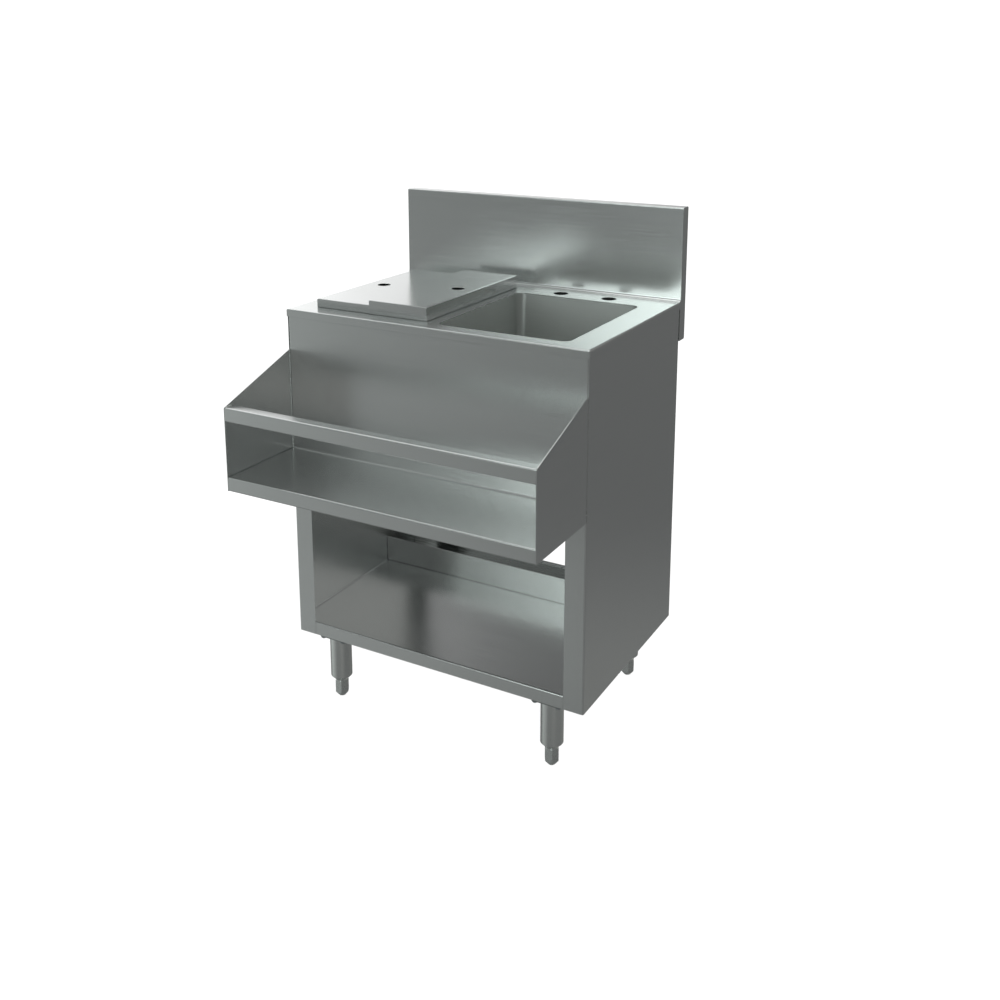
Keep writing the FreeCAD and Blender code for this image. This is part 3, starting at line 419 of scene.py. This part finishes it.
def threaded_sleeve(axis, crest, bore, low, high, pitch):
    """Tube with an outside thread and a plain bore: radius = crest less the depth of the thread's
    wave, which fades into its root within one pitch of both ends."""
    count, depth = 72, pitch * 0.35
    height = np.append(np.arange(low, high, pitch / THREAD_ROWS), high)
    fade = np.clip(np.minimum(height - low, high - height) / pitch, 0, 1)[:, None]
    reach = crest - depth * (1 - fade * (1 - thread_wave(height, count, pitch)))
    return lathe(axis, *capped(reach, height, bore, high), count, True)


def threaded_stud(axis, crest, low, high, pitch):
    """Stud with a helical thread: radius = crest less the depth of the thread's wave, and no more
    than a straight cone to its root in the last stretch below the top."""
    count, depth, point = 40, pitch * 0.5, 1.5 * MM
    height = np.arange(low, high, pitch / THREAD_ROWS)
    fade = np.clip((high - height) / point, 0, 1)[:, None]
    reach = np.minimum(crest - depth * thread_wave(height, count, pitch),
                       crest - depth * (1 - fade))
    return lathe(axis, *capped(reach, height, 0.0, high), count)


def tube_along(start, end, side, up, width, height, ripple, pitch):
    """Weld bead: a closed oval carried along a straight run between two points.

    It reaches out by the width to either side and by the height outward.  The bead swells by
    the ripple once every pitch, and its ends round off to a point.
    """
    start, end, side, up = [np.array(v, dtype=float) for v in (start, end, side, up)]
    length = np.linalg.norm(end - start)
    along = np.linspace(0, 1, max(int(length / pitch * 5), 12))
    near = np.minimum(along, 1 - along) * length / width
    swell = (1 + ripple * np.sin(along * length / pitch * 2 * math.pi)) * np.sqrt(
        np.clip(near * (2 - near), 0, 1) * (near < 1) + (near >= 1))
    angle = around(9)
    ring = (np.cos(angle)[None, :, None] * side * width
            + np.sin(angle)[None, :, None] * up * height)
    points = start + (end - start) * along[:, None, None] + ring * swell[:, None, None]
    return points.reshape(-1, 3), grid_faces(len(along), len(angle), False, True)


def cove(start, end, flat, upright, radius):
    """Fillet between two walls along a straight run: in each cross-section a hollow quarter
    circle, at distance radius * (1 - sin) along the one wall and radius * (1 - cos) up the other,
    both raised by a hair.

    The two wall directions point away from the corner; the back of the fillet is sunk in it.
    """
    share = np.radians(np.linspace(0, 90, 13))
    hair, sunk = 0.06 * MM, -0.1 * MM
    out = np.concatenate([[radius], radius * (1 - np.sin(share)) + hair, [sunk, sunk]])
    rise = np.concatenate([[sunk], radius * (1 - np.cos(share)) + hair, [radius, sunk]])
    flat, upright = np.array(flat, dtype=float), np.array(upright, dtype=float)
    ring = out[:, None] * flat + rise[:, None] * upright
    middle = np.broadcast_to(ring.mean(axis=0), ring.shape)
    start, end = np.array(start, dtype=float), np.array(end, dtype=float)
    points = np.stack([start + middle, start + ring, end + ring, end + middle])
    return points.reshape(-1, 3), grid_faces(4, len(ring), False, True)


def weld_ring(axis, radius, top, leg):
    """Fillet weld round a tube under its plate: a hollow quarter round whose size ripples
    with the angle, forty times a turn."""
    count, ripples = 160, 40
    share = np.radians(np.linspace(0, 90, 6))
    size = leg * (1 + 0.07 * np.sin(around(count) * ripples))
    out = radius - 0.1 * MM + size[None, :] * (1 - np.sin(share))[:, None]
    down = top - size[None, :] * (1 - np.cos(share))[:, None]
    out = np.concatenate([out, np.full((1, count), radius - 0.2 * MM)])
    down = np.concatenate([down, np.full((1, count), top)])
    return lathe(axis, out, down, count, True)


# ---------------------------------------------------------------- surfaces of the pieces
def rounded_loop(low, high, corner, steps=12, sides=24):
    """Points and outward directions round a rectangle with rounded corners.

    Each quarter is the second half of one side, a corner arc, and the first half of the next
    side, so that every quarter has the same number of points.
    """
    low, high = np.array(low), np.array(high)
    middle = (low + high) / 2
    reach = (high - low) / 2 - corner
    points, ways = [], []
    for quarter, sign in enumerate(((1, 1), (-1, 1), (-1, -1), (1, -1))):
        start = quarter * math.pi / 2
        centre = middle + reach * sign
        first = np.array([math.cos(start), math.sin(start)])
        last = np.array([-first[1], first[0]])
        share = np.linspace(0, 1, sides, endpoint=False)[:, None]
        angle = np.linspace(start, start + math.pi / 2, steps + 1)
        bend = np.stack([np.cos(angle), np.sin(angle)], axis=-1)
        before = (middle + first * (np.abs(reach @ first) + corner)
                  + last * np.abs(reach @ last) * share)
        after = centre + last * corner - first * np.abs(reach @ first) * (share + 1 / sides)
        points += [before, centre + bend * corner, after[:-1]]
        ways += [np.repeat(first[None], sides, 0), bend, np.repeat(last[None], sides - 1, 0)]
    return np.concatenate(points), np.concatenate(ways)


def bowl_shell(low, high, corner, flange, top, floor, sheet, bend, recess):
    """Closed shell of a drawn bowl with a rim.

    The rounded rectangle is moved in by an inset and set at a height for each point of the
    profile: rim, wall, quarter arc to the floor.  On the floor each point then moves in a
    straight line to a circle round the drain, and from there down the recess to its hole.
    The outer side is the same profile, one sheet further out, run the other way.  The recess
    is its axis, the radius of its flat, the width of its slope, its depth and its hole.
    """
    loop, way = rounded_loop(low, high, corner)
    axis, flat, slope, depth, hole = recess

    def rings(inset_height):
        return [np.column_stack([loop - way * inset, np.full(len(loop), height)])
                for inset, height in inset_height]

    def floor_rings(growth):
        quarter = np.radians(np.linspace(0, 90, 9))
        reach = bend + growth
        edge = rings([(bend - reach * math.cos(a), floor + bend - reach * math.sin(a))
                      for a in quarter])
        last = edge[-1]
        toward = last[:, :2] - axis
        spoke = toward / np.linalg.norm(toward, axis=1)[:, None]

        def circle(radius, height):
            return np.column_stack([axis + spoke * radius, np.full(len(loop), height)])

        level = floor - growth
        far = circle(flat + growth + slope, level)
        span = [last + (far - last) * share for share in np.linspace(0, 1, 13)[1:]]
        return edge + span + [circle(flat + growth, level - depth), circle(hole, level - depth)]

    inside = rings([(-flange, top), (0.0, top)]) + floor_rings(0.0)
    outside = (rings([(-flange, top - sheet), (-sheet - 0.1 * MM, top - sheet)])
               + floor_rings(sheet))
    rows = np.stack(inside + outside[::-1])
    return rows.reshape(-1, 3), grid_faces(len(rows), len(loop), True, True)


def perforated_disc(axis, low, high, rings, edge, columns):
    """Flat disc with rings of round holes, closed all over but for its outer wall.

    Each ring is cut into equal cells.  A cell is ruled from its own border, two arcs and two
    spokes, to the circle of its hole: out on the top face, down the hole, back on the underside.
    The rings are (holes, hole radius, inner radius, outer radius) in mm; the middle is a plain
    cap, and so is the ring from the last holes to the edge.
    """
    parts = []
    for holes, *radii in rings:
        hole, inner, outer = [value * MM for value in radii]
        share = np.linspace(-0.5, 0.5, columns // holes + 1)
        turn = share * 2 * math.pi / holes
        middle = (inner + outer) / 2
        border = np.concatenate([
            np.stack([outer * np.cos(turn), outer * np.sin(turn)], axis=-1),
            np.stack([inner * np.cos(turn[::-1]), inner * np.sin(turn[::-1])], axis=-1)])
        way = border - [middle, 0.0]
        circle = [middle, 0.0] + way / np.linalg.norm(way, axis=1)[:, None] * hole
        flat = np.stack([border, circle, circle, border])
        height = np.array([high, high, low, low])[:, None, None] * np.ones(flat.shape[:2] + (1,))
        for angle in around(holes):
            spin = np.array([[math.cos(angle), math.sin(angle)],
                             [-math.sin(angle), math.cos(angle)]])
            points = np.concatenate([flat @ spin + axis, height], axis=-1).reshape(-1, 3)
            parts.append((points, grid_faces(4, len(border), False, True)))
    first, last = rings[0][2] * MM, rings[-1][3] * MM
    cap = [(first, low), (0.0, low), (0.0, high), (first, high)]
    wall = [(last, high), (edge, high), (edge, low), (last, low)]
    return parts + [turned(profile, axis, columns, False) for profile in (cap, wall)]


def drain_flange(axis, low, high):
    """Cup of the sink's drain, turned: a flange with a rounded edge, a ledge in its mouth, a
    round wall, and a floor with the outlet's bore."""
    mouth, cup, edge, wall = 46 * MM, 40 * MM, 57.15 * MM, 2 * MM
    soft, bend = 1.0 * MM, 4 * MM
    hollow = bend - wall
    profile = [(mouth, high - 0.2 * MM), (mouth + 0.3 * MM, high)]
    profile += arc((edge - soft, high - soft), soft, 90, 0, 6)
    profile += [(edge, high - wall), (cup + wall, high - wall)]
    profile += arc((cup + wall - bend, low + bend), bend, 0, -90, 8)
    profile += [(OUTLET_BORE, low), (OUTLET_BORE, low + wall)]
    profile += arc((cup - hollow, low + wall + hollow), hollow, -90, 0, 6)
    profile += [(cup, high - LEDGE), (mouth, high - LEDGE)]
    return turned(profile, axis, 96)


def strainer_basket(axis, low, high, rim, ledge):
    """Lift-out basket: a punched floor, a turned wall with a rim that rests on the ledge, and a
    turned stem and knob in the middle."""
    depth, thick, punched = 31 * MM, 0.8 * MM, BASKET_HOLES[-1][3] * MM
    floor, wall = ledge - depth, rim - 6 * MM
    cup = [(punched, floor), (wall, floor), (wall, ledge), (rim, ledge), (rim, ledge + thick),
           (wall - thick, ledge + thick), (wall - thick, floor + thick), (punched, floor + thick)]
    knob = [(0.0, low), (4.5 * MM, low), (4.5 * MM, ledge), (3.6 * MM, ledge + 1.2 * MM)]
    knob += arc((6.6 * MM, high - 2.6 * MM), 2.4 * MM, -60, 90, 10)
    knob += [(3.0 * MM, high - 0.1 * MM), (0.0, high)]
    return perforated_disc(axis, floor, floor + thick, BASKET_HOLES, punched, 192) + [
        turned(cup, axis, 192, False), turned(knob, axis, 48, False)]


def bin_drain(axis, low, high, pitch):
    """Drain of the ice bin: a turned spigot, a threaded neck, and a flange with a recess for
    the perforated disc."""
    bore, spigot, edge, recess = 9.5 * MM, 12.7 * MM, 25.4 * MM, 22.9 * MM
    shoulder, under, seat = low + 28 * MM, high - 3 * MM, high - 1.5 * MM
    tail = [(bore, low), (12.3 * MM, low), (spigot, low + 0.8 * MM), (spigot, shoulder),
            (bore, shoulder)]
    flange = [(bore, under), (edge, under), (edge, high - 0.4 * MM), (25.0 * MM, high),
              (recess, high), (recess, seat), (bore, seat)]
    return [turned(tail, axis), turned(flange, axis),
            threaded_sleeve(axis, 13.35 * MM, bore, shoulder, under, pitch)]


def swaged_tube(axis, outer, low, high):
    """Tube with a drawn-in lower end: over the swage's rise the radius grows from the mouth to
    the tube's as 1 - cos, over a part of half a wave."""
    wall, mouth, rise, part = 1.5 * MM, 13 * MM, 9.4 * MM, 0.82
    share = np.linspace(0, 1, 15)
    growth = (1 - np.cos(share * math.pi * part)) / (1 - math.cos(math.pi * part))
    outside = np.column_stack([mouth + (outer - mouth) * growth, low + rise * share])
    inside = outside[::-1] - [wall, 0]
    return turned(np.concatenate([outside, [[outer, high], [outer - wall, high]], inside]),
                  axis, 72)


def hexagonal_foot(axis, top):
    """Hexagonal bar coned to a small tip: radius = least of the hexagon's reach at that angle,
    the lower cone and the upper chamfer at that height."""
    flat, tip, cone, count = 11.9 * MM, 6.5 * MM, 8.7 * MM, 96
    corner = flat * 2 / math.sqrt(3)
    height = np.concatenate([[0.0, 0.25, 0.8], np.linspace(1.6, 8.7, 10),
                             [14, 20, 26, 33.2, 33.9, 34.5, 35.0]]) * MM
    lower = tip + (corner - tip) * np.clip(height / cone, 0, 1)
    lower[0] -= 0.6 * MM
    upper = corner - np.clip(height - (top - 1.8 * MM), 0, 1) * 1.1
    radius = np.minimum(hexagon(flat, count)[None, :], np.minimum(lower, upper)[:, None])
    return lathe(axis, *capped(radius, height, 0.0, height[-1]), count)


def screw_surface(centre, top, length):
    """Hexagon-head screw with a washer under its head: radius = least of the hexagon's reach
    and the chamfer for the head, a plain step for the washer, and a threaded shank above."""
    flat, head, washer, shank, count = 5.0 * MM, 4.0 * MM, 1.1 * MM, 3.0 * MM, 36
    corner = flat * 2 / math.sqrt(3)
    edge = corner + 0.9 * MM
    limit = np.array([0.0, flat * 0.86, flat * 0.98, corner, corner, corner])
    ring = np.array([edge - 0.2 * MM, edge, edge, shank])
    radius = np.concatenate([np.minimum(hexagon(flat, count)[None, :], limit[:, None]),
                             ring[:, None] * np.ones((1, count))])
    height = top + np.array([-head, -head, -head + 0.5 * MM, -head + 1.2 * MM, -washer, -washer,
                             -washer, -0.8 * MM, 0.0, 0.0])
    return [lathe(centre, radius, height[:, None], count),
            threaded_stud(centre, shank, top, top + length, 1.5 * MM)]


# ---------------------------------------------------------------- settings a user would change
class BARUNIT_PG_finish(bpy.types.PropertyGroup):
    """Finishes of the sheets and fittings."""

    sheet_colour: StringProperty(
        name="Sheet colour", description="sRGB hex colour of the stainless sheet",
        default="#E2E4E3")
    sheet_roughness: FloatProperty(
        name="Sheet roughness", description="Mean roughness of the brushed grain",
        default=0.24, min=0.0, max=1.0, subtype="FACTOR")
    sheet_stretch: FloatProperty(
        name="Grain stretch", description="How far highlights are drawn across the grain",
        default=0.3, min=0.0, max=1.0, subtype="FACTOR")
    grain: FloatProperty(
        name="Grain width", description="Width of one drawn grain line, coarser than real",
        default=0.9 * MM, unit="LENGTH")
    streak: FloatProperty(
        name="Streak length", description="Length of one grain line",
        default=0.15, unit="LENGTH")
    wave: FloatProperty(
        name="Buckle height", description="Height of the slow buckles in folded sheet",
        default=0.4 * MM, unit="LENGTH")


class BARUNIT_PG_sizes(bpy.types.PropertyGroup):
    """Sizes of the fine pieces."""

    sheet: FloatProperty(
        name="Sheet", description="Thickness of the bowls' sheet",
        default=1.2 * MM, unit="LENGTH")
    edge: FloatProperty(
        name="Edge radius", description="Radius on the folds and cut edges of the sheets",
        default=0.5 * MM, unit="LENGTH")
    sink_corner: FloatProperty(
        name="Sink corner", description="Upright corner radius of the sink",
        default=16 * MM, unit="LENGTH")
    bin_corner: FloatProperty(
        name="Bin corner", description="Upright corner radius of the ice bin",
        default=14 * MM, unit="LENGTH")
    floor_bend: FloatProperty(
        name="Floor bend", description="Radius between the walls and floor of a bowl",
        default=6 * MM, unit="LENGTH")
    weld_flange: FloatProperty(
        name="Weld flange", description="Rim of a bowl under the countertop",
        default=10 * MM, unit="LENGTH")
    dish: FloatProperty(
        name="Dish", description="Width of the slope round a drain",
        default=8 * MM, unit="LENGTH")
    thread_pitch: FloatProperty(
        name="Thread pitch", description="Rise of the foot's thread per turn",
        default=2.3 * MM, unit="LENGTH")
    bead: FloatProperty(
        name="Weld bead", description="Half width of a dressed weld",
        default=1.4 * MM, unit="LENGTH")


def finish_of(context):
    """The sheets' settings."""
    return context.scene.barunit_finish


def sizes_of(context):
    """The fine pieces' settings."""
    return context.scene.barunit_sizes


# ---------------------------------------------------------------- operators
def sheet_metal(context, name, rougher=0.0, colour=""):
    """Cold-rolled stainless sheet, belt-brushed: grey, with level hairlines that draw
    reflections out up and down."""
    finish = finish_of(context)
    return brushed_metal(name, colour or finish.sheet_colour, finish.sheet_roughness + rougher,
                         0.03, finish.grain, finish.streak, 0.0018 * MM, finish.wave,
                         finish.sheet_stretch)


class BARUNIT_OT_sheets(bpy.types.Operator):
    """Finishes the folded sheets of the countertop, cabinet and bottle rail"""

    bl_idname = "barunit.sheets"
    bl_label = "Folded Sheets"

    def execute(self, context):
        outer = ["countertop", "splash_end_left", "splash_end_right", "front_panel",
                 "side_panel_left", "side_panel_right", "lower_shelf", "shelf_upstand",
                 "bottle_rail_bar", "bottle_rail_tray", "bottle_rail_end_left",
                 "bottle_rail_end_right"]
        dress(outer, sheet_metal(context, "stainless_belt_brushed"))
        round_edges(outer, sizes_of(context).edge)
        # The same steel as it comes from the rolling mill: darker and duller than brushed faces
        plain = sheet_metal(context, "stainless_mill_rolled", rougher=0.02, colour="#A4A8A6")
        dress(["rear_rail", "deck_rear_channel", "deck_front_angle", "shelf_stiffener",
               "leg_channel_left", "leg_channel_right", "ice_bin_jacket"]
              + ["leg_plate_" + leg for leg in LEGS], plain)
        return {"FINISHED"}


class BARUNIT_OT_covers(bpy.types.Operator):
    """Finishes the two folded covers over the ice bin"""

    bl_idname = "barunit.covers"
    bl_label = "Ice Bin Covers"

    def execute(self, context):
        covers = ["cover_left", "cover_right"]
        # Stainless sheet rubbed bright by hands, a little smoother than the cabinet
        dress(covers, sheet_metal(context, "stainless_cover_brushed", rougher=-0.03))
        round_edges(covers, sizes_of(context).edge)
        return {"FINISHED"}


class BARUNIT_OT_bowls(bpy.types.Operator):
    """Builds the drawn sink bowl and the ice bin's liner"""

    bl_idname = "barunit.bowls"
    bl_label = "Drawn Bowls"

    def execute(self, context):
        sizes = sizes_of(context)
        finish = finish_of(context)
        # Deep-drawn stainless, blasted and hand-rubbed after drawing: an even satin that keeps
        # the inside of the bowls light
        satin = brushed_metal("stainless_satin_drawn", "#DEE0DE", finish.sheet_roughness + 0.16,
                              0.02, finish.grain, finish.streak * 0.5, 0.001 * MM, 0.3 * MM, 0.2)
        for name, corner, drain, hole in (
                ("sink_bowl", sizes.sink_corner, "sink_drain_body", 44.45 * MM),
                ("ice_bin_liner", sizes.bin_corner, "ice_bin_drain", 13.65 * MM)):
            low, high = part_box(name)
            axis, half, _, floor = middle_of(drain)
            recess = (axis, half + 0.3 * MM, sizes.dish, floor - low[2] - sizes.sheet, hole)
            inner_low = [value + sizes.weld_flange for value in low[:2]]
            inner_high = [value - sizes.weld_flange for value in high[:2]]
            shell = bowl_shell(inner_low, inner_high, corner, sizes.weld_flange, high[2], floor,
                               sizes.sheet, sizes.floor_bend, recess)
            piece(name + "_drawn", [shell], satin, "cabinet", [name])
        return {"FINISHED"}


class BARUNIT_OT_drains(bpy.types.Operator):
    """Builds the drain flange, the lift-out basket, the bin's perforated disc and the threads"""

    bl_idname = "barunit.drains"
    bl_label = "Drains"

    def execute(self, context):
        pitch = sizes_of(context).thread_pitch
        # Pressed stainless and chromed brass fittings, polished: bright, hardly blurred
        bright = polished_metal("fittings_polished", "#C9CCCA", 0.16, 0.05, 9 * MM, 0.01 * MM)
        dress(["sink_drain_locknut", "sink_tailpiece", "sink_coupling_nut", "ice_bin_drain_nut"],
              bright)

        axis, _, low, mouth = middle_of("sink_drain_body")
        piece("drain_flange_pressed", [drain_flange(axis, low, mouth)], bright, "cabinet",
              ["sink_drain_body"], sharp=40)

        axis, rim, low, high = middle_of("sink_strainer")
        piece("basket_pressed", strainer_basket(axis, low, high, rim, mouth - LEDGE), bright,
              "strainer", ["sink_strainer"], sharp=40)

        axis, edge, low, high = middle_of("ice_bin_strainer")
        disc = perforated_disc(axis, low, high, DISC_HOLES, edge, 96)
        disc.append(turned([(edge, high), (edge, low)], axis, 96, False))
        piece("disc_perforated", disc, bright, "cabinet", ["ice_bin_strainer"],
              sharp=40)

        axis, _, low, high = middle_of("sink_drain_outlet")
        outlet = threaded_sleeve(axis, OUTLET_CREST, OUTLET_BORE, low, high, pitch)
        piece("sink_drain_outlet_threaded", [outlet], bright, "cabinet",
              ["sink_drain_outlet"], sharp=30)

        axis, _, low, high = middle_of("ice_bin_drain")
        piece("bin_drain_threaded", bin_drain(axis, low, high, pitch * 0.7), bright, "cabinet",
              ["ice_bin_drain"], sharp=30)

        # Moulded rubber: near black and dull, with a fine pebble from the mould
        dress(["sink_drain_gasket", "sink_stopper"],
              soft_material("rubber_moulded", "#141414", "#1E1E1D", 0.6, 0.6 * MM, 0.03 * MM))
        # Cut polyurethane foam: pale yellow, fully dull, open cells at the cut
        dress(["ice_bin_foam"],
              soft_material("foam_cut", "#C9B57A", "#E3D6A4", 0.95, 1.5 * MM, 0.3 * MM))
        return {"FINISHED"}


class BARUNIT_OT_legs(bpy.types.Operator):
    """Builds the four leg tubes with their drawn-in ends, and finishes the inserts"""

    bl_idname = "barunit.legs"
    bl_label = "Legs"

    def execute(self, context):
        # Welded stainless tube, polished round its girth: upright bands of light and dark
        tube = polished_metal("tube_polished", "#ECEEEC", 0.26, 0.01, 14 * MM, 0.002 * MM)
        for leg in LEGS:
            axis, outer, low, high = middle_of("leg_tube_" + leg)
            piece("leg_tube_swaged_" + leg, [swaged_tube(axis, outer, low, high)], tube,
                  "cabinet", ["leg_tube_" + leg])
        dress(["leg_insert_" + leg for leg in LEGS], tube)
        return {"FINISHED"}


class BARUNIT_OT_feet(bpy.types.Operator):
    """Builds the four hexagonal feet with their threaded studs"""

    bl_idname = "barunit.feet"
    bl_label = "Feet"

    def execute(self, context):
        pitch = sizes_of(context).thread_pitch
        # Die-cast and tumbled metal: grey, even and satin
        cast = polished_metal("foot_tumbled", "#E6E9E7", 0.30, 0.05, 3 * MM, 0.02 * MM)
        for leg in LEGS:
            axis, _, _, high = middle_of("foot_" + leg)
            parts = [hexagonal_foot(axis, FOOT_TOP),
                     threaded_stud(axis, STUD_CREST, STUD_FOOT, high, pitch)]
            piece("foot_turned_" + leg, parts, cast, "foot_" + leg,
                  ["foot_" + leg], sharp=24)
        return {"FINISHED"}


class BARUNIT_OT_screws(bpy.types.Operator):
    """Builds the screws that hold the leg plates"""

    bl_idname = "barunit.screws"
    bl_label = "Screws"

    def execute(self, context):
        # Zinc-plated steel: bright and a little blue
        zinc = polished_metal("zinc_plated", "#B9BEC2", 0.24, 0.05, 2 * MM, 0.01 * MM)
        parts = []
        for leg in LEGS:
            axis, half, low, _ = middle_of("leg_plate_" + leg)
            reach = half - SCREW_INSET
            for across in (-1, 1):
                for along in (-1, 1):
                    centre = (axis[0] + across * reach, axis[1] + along * reach)
                    parts += screw_surface(centre, low, SCREW_LENGTH)
        piece("screws_hexagon", parts, zinc, "cabinet", ["leg_screws"], sharp=30)
        return {"FINISHED"}


class BARUNIT_OT_welds(bpy.types.Operator):
    """Lays the weld beads, ribs and ground coves of the bottle rail, the shelf and the legs"""

    bl_idname = "barunit.welds"
    bl_label = "Welds"

    def execute(self, context):
        bead = sizes_of(context).bead
        # Stainless weld, wire-brushed: bright, with close ripples
        weld = polished_metal("weld_wire_brushed", "#C6C8C6", 0.24, 0.06, 1.2 * MM, 0.03 * MM)
        (inside, front, bottom), (outside, corner, slope_top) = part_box("bottle_rail_end_right")
        tray_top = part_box("bottle_rail_tray")[1][2]
        bar_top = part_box("bottle_rail_bar")[1][2]
        beads = []
        for side in (-1, 1):
            x = side * inside
            for start, end, up in (
                    ((x, corner, tray_top), (x, corner, slope_top), (-side, -1, 0)),
                    ((x, front + 1.5 * MM, bar_top), (x, front + 19 * MM, bar_top), (-side, 0, 1))):
                way = np.array(end) - start
                up = np.array(up) / math.sqrt(2)
                across = np.cross(way / np.linalg.norm(way), up)
                beads.append(tube_along(start, end, across, up, bead, bead * 0.9, 0.12, 1.5 * MM))
            # The joint of rail end and side panel is ground down to a low, smooth rib
            x = side * outside
            beads.append(tube_along((x, corner, bottom), (x, corner, slope_top), (0, 1, 0),
                                    (side, 0, 0), 0.4 * MM, 0.6 * MM, 0.0, 8 * MM))
        piece("welds_rail", beads, weld, "cabinet", sharp=60)

        # Weld ground into a cove and brushed like the sheets beside it
        ground = bpy.data.materials["stainless_belt_brushed"]
        shelf_low, shelf_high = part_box("lower_shelf")
        front, back = shelf_low[1] + 3 * MM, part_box("shelf_upstand")[1][1] - 2 * MM
        top = shelf_high[2]
        coves = [cove((-inside, corner, tray_top), (inside, corner, tray_top),
                      (0, -1, 0), (0, 0, 1), COVE)]
        for side in (-1, 1):
            coves.append(cove((side * inside, front, top), (side * inside, back, top),
                              (-side, 0, 0), (0, 0, 1), COVE))
        piece("welds_coved", coves, ground, "cabinet", sharp=60)

        rings = []
        for leg in LEGS:
            axis, _, _, top = middle_of("leg_tube_" + leg)
            rings.append(weld_ring(axis, TUBE_RADIUS, top, FILLET))
        piece("welds_legs", rings, weld, "cabinet", sharp=60)
        return {"FINISHED"}


class BARUNIT_OT_stage(bpy.types.Operator):
    """Sets the pale floor, the soft studio light and the camera"""

    bl_idname = "barunit.stage"
    bl_label = "Stage"

    def execute(self, context):
        scene = context.scene
        floor_mesh = bpy.data.meshes.new("floor")
        points, faces = turned([(radius, FLOOR_HEIGHT) for radius in FLOOR_RINGS], FLOOR_MIDDLE,
                               96, False)
        floor_mesh.from_pydata(points.tolist(), [], faces.tolist())
        floor_mesh.materials.append(floor_paper())
        floor = put("floor", floor_mesh)
        studio_world(scene)
        lamp = bpy.data.lights.new("overhead", "AREA")
        lamp.shape = "DISK"
        lamp.size = LAMP_SIZE
        lamp.energy = LAMP_POWER
        put("overhead", lamp).location = LAMP_PLACE
        lens = bpy.data.cameras.new("camera")
        lens.lens = FOCAL_PIXELS / PHOTO_PIXELS * SENSOR
        lens.sensor_width = SENSOR
        lens.shift_y = CAMERA_SHIFT
        lens.clip_start = 0.05
        camera = put("camera", lens)
        camera.location = CAMERA_PLACE
        camera.rotation_euler = (math.radians(90 - CAMERA_TILT), 0, math.radians(CAMERA_TURN))
        scene.camera = camera
        scene.view_settings.view_transform = "Standard"
        scene.view_settings.look = "None"
        return {"FINISHED"}


class BARUNIT_PT_panel(bpy.types.Panel):
    """Buttons and settings in the 3D view's sidebar"""

    bl_label = "Bar Unit"
    bl_idname = "BARUNIT_PT_panel"
    bl_space_type = "VIEW_3D"
    bl_region_type = "UI"
    bl_category = "Bar Unit"

    def draw(self, context):
        for settings in (finish_of(context), sizes_of(context)):
            for name in settings.__annotations__:
                self.layout.prop(settings, name)
        for operator in OPERATORS:
            self.layout.operator(operator.bl_idname)


OPERATORS = (BARUNIT_OT_sheets, BARUNIT_OT_covers, BARUNIT_OT_bowls, BARUNIT_OT_drains,
             BARUNIT_OT_legs, BARUNIT_OT_feet, BARUNIT_OT_screws, BARUNIT_OT_welds,
             BARUNIT_OT_stage)
CLASSES = (BARUNIT_PG_finish, BARUNIT_PG_sizes) + OPERATORS + (BARUNIT_PT_panel,)


def register():
    """Registers the classes and the scene's settings."""
    for cls in CLASSES:
        bpy.utils.register_class(cls)
    bpy.types.Scene.barunit_finish = PointerProperty(type=BARUNIT_PG_finish)
    bpy.types.Scene.barunit_sizes = PointerProperty(type=BARUNIT_PG_sizes)


def unregister():
    """Takes the settings and the classes away again."""
    del bpy.types.Scene.barunit_finish
    del bpy.types.Scene.barunit_sizes
    for cls in reversed(CLASSES):
        bpy.utils.unregister_class(cls)


def main():
    """Builds every piece and the stage."""
    register()
    bpy.ops.barunit.sheets()
    bpy.ops.barunit.covers()
    bpy.ops.barunit.bowls()
    bpy.ops.barunit.drains()
    bpy.ops.barunit.legs()
    bpy.ops.barunit.feet()
    bpy.ops.barunit.screws()
    bpy.ops.barunit.welds()
    bpy.ops.barunit.stage()


if __name__ == "__main__":
    main()
